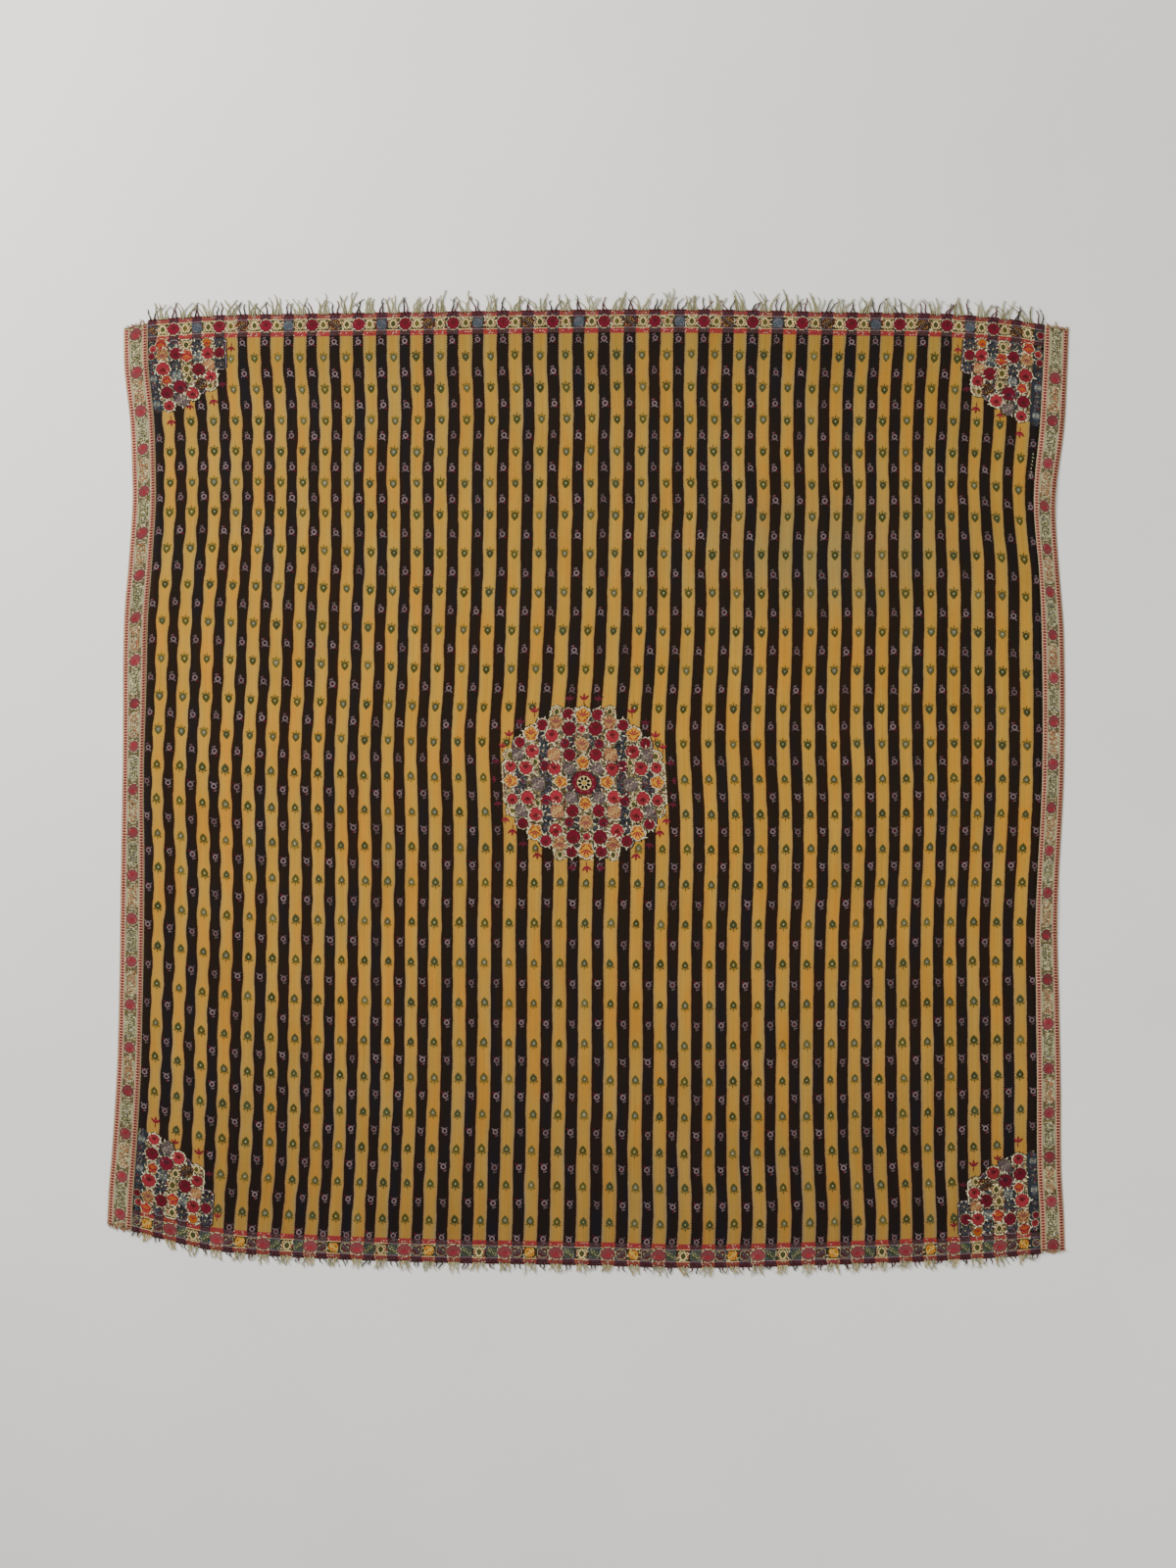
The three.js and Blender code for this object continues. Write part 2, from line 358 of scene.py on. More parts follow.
def ruffled(width, height, petals, depth):
    # a jagged round outline, drawn in towards its foot
    def reach(angle):
        foot = max(0.0, -math.sin(angle))
        swell = 1 - depth * (0.5 - 0.5 * math.cos(petals * (angle - math.pi / 2)))
        return (width / 2 * swell * (1 - 0.14 * foot), height / 2 * swell)

    return reach


def thread(bm, dye, length, width, centre, turn, height):
    # one short stitch, widest in its middle
    disc(bm, 4, even(width, length), [(1.0, height, dye)], centre, turn)


def thicken(bm, faces, height):
    # a closed slab, with the faces kept below and raised above
    grown = bmesh.ops.extrude_face_region(bm, geom=faces, use_keep_orig=True)
    raised = [item for item in grown["geom"] if isinstance(item, bmesh.types.BMVert)]
    bmesh.ops.translate(bm, vec=(0.0, 0.0, height), verts=raised)
    return raised


def curl(bm, dye, radius, width, sweep, centre, turn, height):
    # a flat curved band that winds inwards
    dyeLayer = bm.faces.layers.int["dyeNumber"]
    made = bmesh.ops.create_grid(bm, x_segments=3, y_segments=1, size=0.5)
    faces = list({face for vert in made["verts"] for face in vert.link_faces})
    verts = list(made["verts"]) + thicken(bm, faces, height)
    for vert in verts:
        part = vert.co.x + 0.5
        reach = radius * (1 - 0.45 * part) + vert.co.y * width * (1 - 0.5 * part)
        angle = sweep * part
        vert.co.x = reach * math.cos(angle)
        vert.co.y = reach * math.sin(angle)
    for face in {face for vert in verts for face in vert.link_faces}:
        face[dyeLayer] = dyeNames.index(dye)
    bmesh.ops.transform(bm, matrix=turned(centre, turn), verts=verts)


def toMesh(bm, name):
    mesh = bpy.data.meshes.new(name)
    bm.to_mesh(mesh)
    bm.free()
    return mesh


def template(build, *parts):
    bm = bmesh.new()
    bm.faces.layers.int.new("dyeNumber")
    build(bm, *parts)
    bmesh.ops.recalc_face_normals(bm, faces=bm.faces[:])
    return toMesh(bm, build.__name__)


def templates(build, *choices):
    return [template(build, *parts) for parts in choices]


def newPiece():
    bm = bmesh.new()
    bm.faces.layers.int.new("dyeNumber")
    bm.faces.layers.float.new("shade")
    return bm


def place(bm, motif, across, along, turn=0.0, size=1.0, up=0.0, shade=1.0):
    # adds one copy of a motif to the piece at a place on the flat cloth
    wide, long = size if isinstance(size, tuple) else (size, size)
    copy = motif.copy()
    spot = Matrix.Translation((across, along, clothTop + up))
    copy.transform(spot @ Matrix.Rotation(turn, 4, "Z") @ Matrix.Diagonal((wide, long, 1.0, 1.0)))
    values = copy.attributes.new("shade", "FLOAT", "FACE")
    values.data.foreach_set("value", np.full(len(copy.polygons), shade, np.float32))
    bm.from_mesh(copy)
    bpy.data.meshes.remove(copy)


# Meshes, maps and finished pieces


def readValues(items, key, kind, width=1):
    # one property of many items, in rows where it has several numbers
    values = np.empty(len(items) * width, kind)
    items.foreach_get(key, values)
    return values.reshape(-1, width).astype(float) if width > 1 else values


def addMap(mesh, name, values):
    layer = mesh.uv_layers.new(name=name)
    layer.uv.foreach_set("vector", np.ascontiguousarray(values, np.float32).ravel())


def joinObject(name, mesh, flat, material, nodes):
    mesh.vertices.foreach_set("co", lay(flat).astype(np.float32).ravel())
    mesh.update()
    mesh.materials.append(material)
    piece = bpy.data.objects.new(name, mesh)
    bpy.context.scene.collection.objects.link(piece)
    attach(piece, "root")
    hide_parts(*nodes)
    return piece


bakeMap = {
    "side": 5,  # the dyes stand in a square of this many cells a side
    "margin": 0.1,  # kept free of the faces' middles at a cell's edge
    "edge": 0.04,  # kept free of the faces themselves
    "faceShare": 0.04 / 12,  # how much of its cell a millimetre of a face may take
    "widest": 6.0,
    "lean": (1.0, 0.7),  # how a wall is drawn out by its height
}


def bakePlaces(flat, faces, corners, sizes, codes):
    # each face lies in its dye's own cell, at its place on the cloth and widened about its own middle
    starts = np.concatenate([[0], np.cumsum(sizes)[:-1]])
    owner = np.repeat(np.arange(faces), sizes)
    middle = np.add.reduceat(flat[corners], starts, axis=0) / sizes[:, None]
    away = flat[corners] - middle[owner]
    span = np.ptp(middle[:, :2], axis=0) + 1
    low = middle[:, :2].min(axis=0)
    widen = np.minimum(bakeMap["widest"], bakeMap["faceShare"] * span)
    spot = bakeMap["margin"] + (1 - 2 * bakeMap["margin"]) * (middle[owner][:, :2] - low) / span
    spot = spot + (away[:, :2] + away[:, 2:3] * np.array(bakeMap["lean"])) * widen / span
    spot = np.clip(spot, bakeMap["edge"], 1 - bakeMap["edge"])
    cell = np.stack([codes % bakeMap["side"], codes // bakeMap["side"]], axis=1)[owner]
    return (cell + spot) / bakeMap["side"]


def finishMotifs(bm, name, material, nodes, wander=0.06):
    bmesh.ops.recalc_face_normals(bm, faces=bm.faces[:])
    mesh = toMesh(bm, name)
    faces = len(mesh.polygons)
    flat = readValues(mesh.vertices, "co", np.float32, 3)
    corners = readValues(mesh.loops, "vertex_index", np.int32)
    sizes = readValues(mesh.polygons, "loop_total", np.int32)
    codes = readValues(mesh.attributes["dyeNumber"].data, "value", np.int32)
    shades = readValues(mesh.attributes["shade"].data, "value", np.float32)
    uneven = np.random.default_rng(len(name)).normal(1.0, wander, (faces, 1))
    colour = np.concatenate([dyeColours[codes] * shades[:, None] * uneven, np.ones((faces, 1))], axis=1)
    paint = mesh.color_attributes.new(name="dye", type="FLOAT_COLOR", domain="CORNER")
    paint.data.foreach_set("color", np.repeat(colour, sizes, axis=0).astype(np.float32).ravel())
    addMap(mesh, "OFBake", bakePlaces(flat, faces, corners, sizes, codes))
    addMap(mesh, "cloth", flat[corners][:, :2] * millimetre)
    mesh.attributes.remove(mesh.attributes["dyeNumber"])
    mesh.attributes.remove(mesh.attributes["shade"])
    print(name, "has", int((sizes - 2).sum()), "triangles")
    return joinObject(name, mesh, flat, material, nodes)


def finishCloth(name, material, low, high, nodes):
    # a thin closed sheet between two flat corners
    bm = bmesh.new()
    low = np.array(low)
    high = np.array(high)
    span = high - low
    columns, lines = (max(3, round(side / cloth["cell"])) for side in span)
    bmesh.ops.create_grid(bm, x_segments=columns, y_segments=lines, size=0.5)
    bmesh.ops.scale(bm, vec=(*span, 1.0), verts=bm.verts[:])
    bmesh.ops.translate(bm, vec=(*(low + high) / 2, cloth["underside"]), verts=bm.verts[:])
    thicken(bm, bm.faces[:], cloth["wall"])
    bmesh.ops.recalc_face_normals(bm, faces=bm.faces[:])
    for face in bm.faces:
        face.smooth = True
    mesh = toMesh(bm, name)
    flat = readValues(mesh.vertices, "co", np.float32, 3)
    ends = flat[readValues(mesh.loops, "vertex_index", np.int32)]
    depth = (clothTop - ends[:, 2:3]) / cloth["wall"]
    # on the map the lower face is a little smaller than the upper one, which leaves room for the walls
    addMap(mesh, "OFBake", 0.5 + ((ends[:, :2] - low) / span - 0.5) * (0.996 - 0.008 * depth))
    addMap(mesh, "cloth", ends[:, :2] * millimetre)
    stripe = np.interp(ends[:, 0], stripePlaces, stripeKeys)
    row = np.interp(ends[:, 1], rows[::-1], range(len(rows))[::-1])
    addMap(mesh, "weave", np.stack([stripe, row], axis=1))
    print(name, "has", 2 * len(mesh.polygons), "triangles")
    return joinObject(name, mesh, flat, material, nodes)


# Materials


def feed(tree, socket, value):
    if isinstance(value, bpy.types.NodeSocket):
        tree.links.new(value, socket)
    else:
        socket.default_value = value


def calc(tree, operation, *values):
    node = tree.nodes.new("ShaderNodeMath")
    node.operation = operation
    for socket, value in zip(node.inputs, values):
        feed(tree, socket, value)
    return node.outputs[0]


def vector(tree, *values):
    node = tree.nodes.new("ShaderNodeCombineXYZ")
    for socket, value in zip(node.inputs, values):
        feed(tree, socket, value)
    return node.outputs[0]


def readMap(tree, name):
    node = tree.nodes.new("ShaderNodeUVMap")
    node.uv_map = name
    split = tree.nodes.new("ShaderNodeSeparateXYZ")
    tree.links.new(node.outputs["UV"], split.inputs[0])
    return split.outputs["X"], split.outputs["Y"]


def noise(tree, place, scale, detail=2.0):
    node = tree.nodes.new("ShaderNodeTexNoise")
    node.inputs["Scale"].default_value = scale
    node.inputs["Detail"].default_value = detail
    tree.links.new(place, node.inputs["Vector"])
    return node.outputs["Fac"]


def streaks(tree, across, along, acrossScale, alongScale, detail=2.0):
    # noise that is drawn out one way
    x = calc(tree, "MULTIPLY", across, acrossScale)
    y = calc(tree, "MULTIPLY", along, alongScale)
    return noise(tree, vector(tree, x, y), 1.0, detail)


def spread(tree, value, low, high):
    # a zero to one value stretched between two others
    return calc(tree, "MULTIPLY_ADD", value, high - low, low)


def weigh(tree, *parts):
    # the sum of several values, each times its own weight
    total = 0.0
    for value, weight in parts:
        total = calc(tree, "MULTIPLY_ADD", value, weight, total)
    return total


def ramp(tree, value, stops, steps="LINEAR"):
    node = tree.nodes.new("ShaderNodeValToRGB")
    node.color_ramp.interpolation = steps
    elements = node.color_ramp.elements
    while len(elements) < len(stops):
        elements.new(1.0)
    for element, (position, colour) in zip(elements, stops):
        element.position = position
        element.color = (*colour, 1.0)
    tree.links.new(value, node.inputs["Fac"])
    return node.outputs["Color"]


def bands(tree, value, stops):
    # hard-edged bands of dye
    return ramp(tree, value, [(start, dyes[dye]) for start, dye in stops], "CONSTANT")


def blend(tree, kind, factor, first, second):
    node = tree.nodes.new("ShaderNodeMix")
    node.data_type = "RGBA"
    node.blend_type = kind
    for name, value in (("Factor", factor), ("A", first), ("B", second)):
        feed(tree, node.inputs[name], (*value, 1.0) if isinstance(value, tuple) else value)
    return node.outputs["Result"]


def dim(tree, colour, *patterns):
    # a colour times several patterns, each stretched between its two greys
    for value, low, high in patterns:
        grey = spread(tree, value, low, high)
        colour = blend(tree, "MULTIPLY", 1.0, colour, vector(tree, grey, grey, grey))
    return colour


def twill(tree, across, along, pitch):
    # fine slanting ribs of the weave, zero to one
    slant = calc(tree, "ADD", across, along)
    return calc(tree, "PINGPONG", calc(tree, "MULTIPLY", slant, 1000.0 / pitch), 1.0)


def makeMaterial(name, weave, roughness, sheen, tint, bump):
    # weave gives the colour and the relief at a place on the cloth
    material = bpy.data.materials.new(name)
    material.use_nodes = True
    tree = material.node_tree
    surface = tree.nodes["Principled BSDF"]
    surface.inputs["Roughness"].default_value = roughness
    surface.inputs["Specular IOR Level"].default_value = 0.1
    surface.inputs["Sheen Weight"].default_value = sheen
    surface.inputs["Sheen Roughness"].default_value = 0.45
    surface.inputs["Sheen Tint"].default_value = (*tint, 1.0)
    colour, height = weave(tree, *readMap(tree, "cloth"))
    tree.links.new(colour, surface.inputs["Base Color"])
    node = tree.nodes.new("ShaderNodeBump")
    node.inputs["Strength"].default_value = 0.6
    node.inputs["Distance"].default_value = bump
    tree.links.new(height, node.inputs["Height"])
    tree.links.new(node.outputs["Normal"], surface.inputs["Normal"])
    return material


fieldLook = {
    "yellowHalf": 0.27,  # half the yellow stripe's width, as a part of one repeat
    "wander": 0.055,  # how far the stripe edges stray
    "ragged": (-0.03, 0.012),
    "teeth": 0.030,  # depth of the interlocked edge
    "toothPitch": 0.0048,
    "swell": (-0.042, -0.004),  # how much the stripes swell at the flowers: by place across, and everywhere
    "leastSwell": 0.003,
    "core": (0.376, 0.190, 0.021),
    "rim": (0.285, 0.168, 0.040),
    "edge": (0.018, 0.005, 0.001),
    "dark": (0.0110, 0.0063, 0.0026),
    # from the yellow stripe's middle outwards, in half widths
    "profile": [(0.60, "core"), (0.86, "rim"), (0.97, "rim"), (1.02, "edge"), (1.14, "edge"), (1.30, "dark")],
    # tints that make the yellow darker and greyer towards both ends, from the bottom end to the top one
    "towardsEnds": [
        (0.02, (0.66, 0.72, 1.25)),
        (0.18, (0.84, 0.87, 1.20)),
        (0.34, (0.97, 0.97, 1.10)),
        (0.55, (1.0, 1.0, 1.0)),
        (0.75, (0.92, 0.96, 1.05)),
        (0.90, (0.82, 0.88, 1.10)),
        (0.98, (0.66, 0.75, 1.10)),
    ],
    "yellowLots": [(0.36, (0.96, 1.03, 1.25)), (0.5, (1, 1, 1)), (0.64, (1.08, 0.93, 0.75))],
    "blackLots": [(0.36, (0.80, 0.98, 2.0)), (0.5, (1, 1, 1)), (0.64, (1.22, 1.0, 1.0))],
    # a patch of painted crease shade and faded wool at the upper right, over the crease there
    "fadeAndShadePlace": (0.43, 0.44),
    "fadeAndShadeReach": (1 / 3.6, 1 / 9.0),
    "fadeAndShadeShare": 0.55,
    "fadeAndShade": (0.19, 0.15, 0.06),
    "twillPitch": 1.1,
}
# grounds of the end borders, from the inner edge outwards
endGrounds = {
    "onYellow": [
        (0.0, "red"), (0.22, "cream"), (0.25, "shadow"), (0.73, "cream"), (0.76, "rose"), (0.94, "maroon"),
    ],
    "onBlack": [
        (0.0, "black"), (0.03, "dusk"), (0.22, "mauve"), (0.25, "slate"), (0.73, "mauve"), (0.76, "purple"),
        (0.94, "maroon"),
    ],
}


def fieldWeave(tree, across, along):
    look = fieldLook
    stripe, row = readMap(tree, "weave")
    # the stripe's own middle line wanders, and its edges stray and interlock
    stray = streaks(tree, stripe, along, 2.2, 13.0)
    strayed = calc(tree, "ADD", stripe, spread(tree, stray, -look["wander"], look["wander"]))
    tooth = calc(tree, "PINGPONG", along, look["toothPitch"] / 2)
    ragged = streaks(tree, stripe, along, 5.0, 120.0)
    # the stripes swell at their own rows of flowers, most of all towards the left
    swell = calc(tree, "COSINE", calc(tree, "MULTIPLY", row, 2 * math.pi))
    reach = calc(tree, "MULTIPLY_ADD", across, *look["swell"])
    reach = calc(tree, "MAXIMUM", reach, look["leastSwell"])
    away = calc(tree, "PINGPONG", strayed, 0.5)
    away = calc(tree, "SUBTRACT", away, calc(tree, "MULTIPLY", swell, reach))
    away = calc(tree, "MULTIPLY_ADD", tooth, 2 * look["teeth"] / look["toothPitch"], away)
    away = calc(tree, "ADD", away, spread(tree, ragged, *look["ragged"]))
    away = calc(tree, "MULTIPLY", away, 2.0)
    half = 2 * look["yellowHalf"]
    stripes = ramp(tree, away, [(half * part, look[name]) for part, name in look["profile"]])
    isYellow = ramp(tree, away, [(half * 0.98, (1, 1, 1)), (half * 1.02, (0, 0, 0))])
    # the yellow turns darker and greyer towards both ends
    height = calc(tree, "MULTIPLY_ADD", along, 1 / 1.8, 0.5)
    stripes = blend(tree, "MULTIPLY", 1.0, stripes, ramp(tree, height, look["towardsEnds"]))
    # dye lots: some lengths of a stripe are more orange or greener, and the black turns brown or blue
    lots = streaks(tree, across, along, 26.0, 6.0, 3.0)
    tints = [ramp(tree, lots, look[name]) for name in ("blackLots", "yellowLots")]
    stripes = blend(tree, "MULTIPLY", 1.0, stripes, blend(tree, "MIX", isYellow, *tints))
    # a greyed patch at the upper right, over the crease there: painted crease shade, together with faded wool
    squares = []
    for value, middle, wide in zip((across, along), look["fadeAndShadePlace"], look["fadeAndShadeReach"]):
        off = calc(tree, "MULTIPLY", calc(tree, "SUBTRACT", value, middle), 1 / wide)
        squares.append(calc(tree, "MULTIPLY", off, off))
    fadeAndShade = calc(tree, "EXPONENT", weigh(tree, (squares[0], -1.0), (squares[1], -1.0)))
    fadeAndShade = calc(tree, "MULTIPLY", calc(tree, "MULTIPLY", fadeAndShade, look["fadeAndShadeShare"]), isYellow)
    stripes = blend(tree, "MIX", fadeAndShade, stripes, look["fadeAndShade"])
    # ground of the two end borders
    end = calc(tree, "SUBTRACT", calc(tree, "ABSOLUTE", along), borderStart * millimetre)
    end = calc(tree, "MULTIPLY", end, 1 / (cloth["endBorder"] * millimetre))
    grounds = [bands(tree, end, endGrounds[name]) for name in ("onBlack", "onYellow")]
    ground = blend(tree, "MIX", isYellow, *grounds)
    colour = blend(tree, "MIX", calc(tree, "GREATER_THAN", end, 0.0), stripes, ground)
    # long warp streaks, short weft slubs, clouds of uneven dye, and the twill itself, whose grooves are
    # painted a little darker as shade
    warp = streaks(tree, across, along, 900.0, 9.0, 3.0)
    weft = streaks(tree, across, along, 60.0, 900.0, 3.0)
    streak = streaks(tree, across, along, 260.0, 3.0)
    cloud = noise(tree, vector(tree, across, along), 7.0, 4.0)
    ribs = twill(tree, across, along, look["twillPitch"])
    colour = dim(tree, colour, (streak, 0.82, 1.18), (warp, 0.80, 1.20), (weft, 0.84, 1.16))
    colour = dim(tree, colour, (cloud, 0.82, 1.18), (ribs, 0.93, 1.05))
    return colour, weigh(tree, (ribs, 0.6), (weft, 0.7), (warp, 0.7))


borderLook = {
    "squarePitch": 0.0056,  # one dotted square of the guard
    "guardMiddle": 0.0168,  # from the border's middle line
    "guardHalf": 0.0038,
    "dot": 0.0022,
    "paleLine": 0.0005,
    "stray": 0.0008,
    "twillPitch": 0.9,
    # from the border's middle line to its edges
    "bands": [
        (0.0, "buff"), (0.485, "shadow"), (0.515, "pale"), (0.565, "red"), (0.59, "salmon"), (0.905, "red"),
        (0.935, "pale"),
    ],
}


def borderWeave(tree, across, along):
    look = borderLook
    middle = (halfWidth + seam) / 2 * millimetre
    off = calc(tree, "ABSOLUTE", calc(tree, "SUBTRACT", calc(tree, "ABSOLUTE", across), middle))
    stray = noise(tree, vector(tree, across, along), 160.0)
    off = calc(tree, "ADD", off, spread(tree, stray, -look["stray"], look["stray"]))
    colour = bands(tree, calc(tree, "MULTIPLY", off, 2 / (cloth["sideBorder"] * millimetre)), look["bands"])
    # a small red dot in every square of the guard, with pale lines between the squares
    step = calc(tree, "PINGPONG", along, look["squarePitch"] / 2)
    side = calc(tree, "SUBTRACT", off, look["guardMiddle"])
    squares = [calc(tree, "MULTIPLY", value, value) for value in (step, side)]
    reach = calc(tree, "SQRT", calc(tree, "ADD", *squares))
    colour = blend(tree, "MIX", calc(tree, "LESS_THAN", reach, look["dot"]), colour, dyes["crimson"])
    between = calc(tree, "GREATER_THAN", step, look["squarePitch"] / 2 - look["paleLine"])
    inGuard = calc(tree, "LESS_THAN", calc(tree, "ABSOLUTE", side), look["guardHalf"])
    colour = blend(tree, "MIX", calc(tree, "MULTIPLY", between, inGuard), colour, dyes["cream"])
    warp = streaks(tree, across, along, 1100.0, 30.0, 3.0)
    weft = streaks(tree, across, along, 150.0, 1100.0, 3.0)
    cloud = noise(tree, vector(tree, across, along), 16.0, 4.0)
    ribs = twill(tree, across, along, look["twillPitch"])
    colour = dim(tree, colour, (warp, 0.78, 1.22), (weft, 0.80, 1.20))
    # the twill's grooves are painted a little darker, as shade
    colour = dim(tree, colour, (cloud, 0.76, 1.24), (ribs, 0.92, 1.05))
    return colour, weigh(tree, (ribs, 1.0), (warp, 1.0), (weft, 1.0))


def readDye(tree):
    node = tree.nodes.new("ShaderNodeVertexColor")
    node.layer_name = "dye"
    return node.outputs["Color"]


def motifWeave(tree, across, along):
    # the coloured wefts of the flowers, in the same twill
    warp = streaks(tree, across, along, 1000.0, 120.0)
    weft = streaks(tree, across, along, 120.0, 1000.0)
    ribs = twill(tree, across, along, fieldLook["twillPitch"])
    # the twill's grooves are painted a little darker, as shade
    colour = dim(tree, readDye(tree), (warp, 0.78, 1.22), (weft, 0.80, 1.20), (ribs, 0.90, 1.06))
    return colour, weigh(tree, (ribs, 1.0), (warp, 1.0), (weft, 1.0))


def yarnTwist(tree, across, along):
    # loose twisted warp ends
    plies = twill(tree, across, along, 1.6)
    fuzz = noise(tree, vector(tree, across, along), 1400.0)
    # the grooves between the plies are painted darker, as shade
    colour = dim(tree, readDye(tree), (plies, 0.80, 1.12), (fuzz, 0.75, 1.25))
    return colour, calc(tree, "ADD", plies, fuzz)


fieldMaterial = makeMaterial("twillTapestry", fieldWeave, 0.88, 0.05, (0.9, 0.8, 0.6), 0.0003)
borderMaterial = makeMaterial("fineBorderWeave", borderWeave, 0.86, 0.05, (0.95, 0.85, 0.8), 0.0002)
motifMaterial = makeMaterial("colouredWeft", motifWeave, 0.86, 0.05, (0.9, 0.85, 0.75), 0.0002)
yarnMaterial = makeMaterial("looseYarn", yarnTwist, 0.9, 0.25, (0.95, 0.9, 0.8), 0.0003)
print("materials made")

# The cloth itself

fieldEdge = seam - cloth["seamGap"] / 2
fieldCloth = finishCloth(
    "fieldCloth", fieldMaterial, (-fieldEdge, -halfLength), (fieldEdge, halfLength), ["field"]
)

# the side borders are a little shorter than the field, by different slips at their ends
sideBorders = [
    {
        "name": "Left",
        "node": "side_border_left",
        "side": -1,
        "topSlip": 7.0,
        "bottomSlip": 0.5,
        "firstRose": 0,
        # painted shade: the left border is darkened because the window light falls stronger on the left
        "shade": 0.92,
        # some roses from the top: number, place along
        "roses": [(0, 869.0), (3, 642.0), (7, 308.0), (14, -283.0), (20, -792.0), (21, -866.0), (22, -945.0)],
    },
    {
        "name": "Right",
        "node": "side_border_right",
        "side": 1,
        "topSlip": 2.0,
        "bottomSlip": 5.0,
        "firstRose": 1,
        "shade": 1.0,
        "roses": [
            (0, 876.0), (1, 793.0), (7, 299.0), (12, -117.0), (14, -279.0), (20, -793.0), (21, -876.0),
            (22, -960.0),
        ],
    },
]
for border in sideBorders:
    edges = sorted((border["side"] * (seam + cloth["seamGap"] / 2), border["side"] * halfWidth))
    low = (edges[0], -halfLength + border["bottomSlip"])
    high = (edges[1], halfLength - border["topSlip"])
    finishCloth("sideCloth" + border["name"], borderMaterial, low, high, [border["node"]])
print("cloth laid")

# Where the two kinds of medallion lie, by half stripes out from the middle or in from the side

centreStripe = 18.0
centrePlace = 8.0  # along the cloth
# how far the medallion reaches up and down in each half stripe
centreReach = [140.0, 138.0, 138.0, 118.0, 102.0, 84.0, 44.0]
# how far a corner medallion reaches from the end border in each half stripe
cornerReach = [138.0, 130.0, 118.0, 112.0, 104.0, 96.0, 60.0]
# each corner medallion by side and end: how much longer it is woven, and how far its blossoms and ground are
# darkened, mostly as painted shade that evens out the window light, strongest at the top left
corners = {
    (-1, -1): {"longer": 1.17, "blossoms": 0.86, "ground": 0.90},
    (-1, 1): {"longer": 1.04, "blossoms": 0.76, "ground": 0.84},
    (1, -1): {"longer": 1.15, "blossoms": 0.86, "ground": 1.0},
    (1, 1): {"longer": 1.14, "blossoms": 0.92, "ground": 0.97},
}
spare = 16.0  # the small flowers keep this far from a medallion
finialSpare = 38.0  # and this far in the outermost yellow stripe, where a finial stands past the corner


def inMedallion(stripe, along):
    out = round(abs(stripe - centreStripe) * 2)
    if out < len(centreReach) and abs(along - centrePlace) < centreReach[out] + spare:
        return True
    inwards = round((yellowStripes - 1 - abs(stripe - centreStripe) - centreStripe) * 2) + 1
    if inwards < len(cornerReach):
        corner = corners[(1 if stripe > centreStripe else -1, 1 if along > 0 else -1)]
        reach = cornerReach[max(inwards, 0)] * corner["longer"]
        return borderStart - abs(along) < reach + (finialSpare if inwards == 1 else spare)
    return False


# Small flowers

flowers = {
    "width": 14.0,
    "height": 13.5,
    "rise": 0.28,
    "unevenTurn": 0.12,
    "unevenSize": 0.08,
    "unevenPlace": 1.1,
}


def yellowFlower(bm, ring, inner, heart, leaf):
    # a pointed flower with a pale eye, and two leaves under it
    top = flowers["rise"]
    shape = tipped(flowers["width"], flowers["height"], 0.5)
    disc(bm, 8, shape, [(1.0, top, ring), (0.62, top + 0.05, inner)])
    thread(bm, heart, 3.4, 2.8, (0.0, 0.2), 0.0, top + 0.09)
    thread(bm, leaf, 9.0, 2.2, (0.0, -8.6), 0.0, top - 0.05)
    for side in (-1, 1):
        thread(bm, leaf, 8.0, 2.8, (side * 5.6, -6.4), side * -1.0, top - 0.05)


def blackFlower(bm, ring, heart, tail, leaf):
    # an outlined flower with a dark middle, over a forked stem
    top = flowers["rise"]
    disc(bm, 7, tipped(11.0, 9.6, 0.42), [(1.0, top, ring), (0.56, top + 0.05, "black")])
    thread(bm, heart, 4.0, 2.6, (0.0, 0.2), 0.0, top + 0.09)
    thread(bm, tail, 6.0, 2.6, (-4.8, 6.2), 0.9, top - 0.03)
    thread(bm, ring, 5.0, 1.7, (4.8, 6.2), -0.9, top - 0.03)
    thread(bm, leaf, 6.5, 1.9, (0.0, -7.4), 0.0, top - 0.05)
    thread(bm, ring, 6.5, 1.7, (3.2, -7.2), -1.1, top - 0.05)


yellowFlowers = templates(
    yellowFlower,
    ("green", "olive", "cream", "green"),
    ("olive", "greyGreen", "cream", "olive"),
    ("seaGreen", "green", "straw", "green"),
    ("green", "greyGreen", "straw", "olive"),
    ("green", "green", "pale", "seaGreen"),
)
blackFlowers = templates(
    blackFlower,
    ("mauve", "maroon", "crimson", "heather"),
    ("heather", "maroon", "maroon", "mauve"),
    ("mauve", "purple", "crimson", "heather"),
    ("mauve", "black", "mauve", "crimson"),
    ("heather", "crimson", "heather", "greyGreen"),
)


def scatterFlowers(name, motifs, shift, more, seed):
    # one flower in each row of each stripe, both counted from zero and shifted
    chance = random.Random(seed)
    bm = newPiece()
    for stripe in range(yellowStripes + more):
        for row in range(len(rows) + more):
            along = rowAt(row + shift)
            if inMedallion(stripe + shift, along):
                continue
            hangs = math.pi if along > turnRow else 0.0
            size = 1 + chance.uniform(-1, 1) * flowers["unevenSize"]
            place(
                bm,
                chance.choice(motifs),
                stripeAt(stripe + shift) + chance.uniform(-1, 1) * flowers["unevenPlace"],
                along + chance.uniform(-1, 1) * flowers["unevenPlace"],
                hangs + chance.uniform(-1, 1) * flowers["unevenTurn"],
                (size if shift else size * chance.choice((-1, 1)), size),
                shade=chance.uniform(0.8, 1.15),
            )
    return finishMotifs(bm, name, motifMaterial, ["field"])


flowersOnYellow = scatterFlowers("flowersOnYellow", yellowFlowers, 0.0, 0, 11)
flowersOnBlack = scatterFlowers("flowersOnBlack", blackFlowers, -0.5, 1, 12)
print("small flowers woven")

# Blossoms of the medallions and borders, drawn 20 mm wide and scaled where they are placed

relief = {
    "ground": 0.22,
    "blossom": 0.40,
    "mark": 0.50,
}


def around(radius, angle):
    return (radius * math.cos(angle), radius * math.sin(angle))


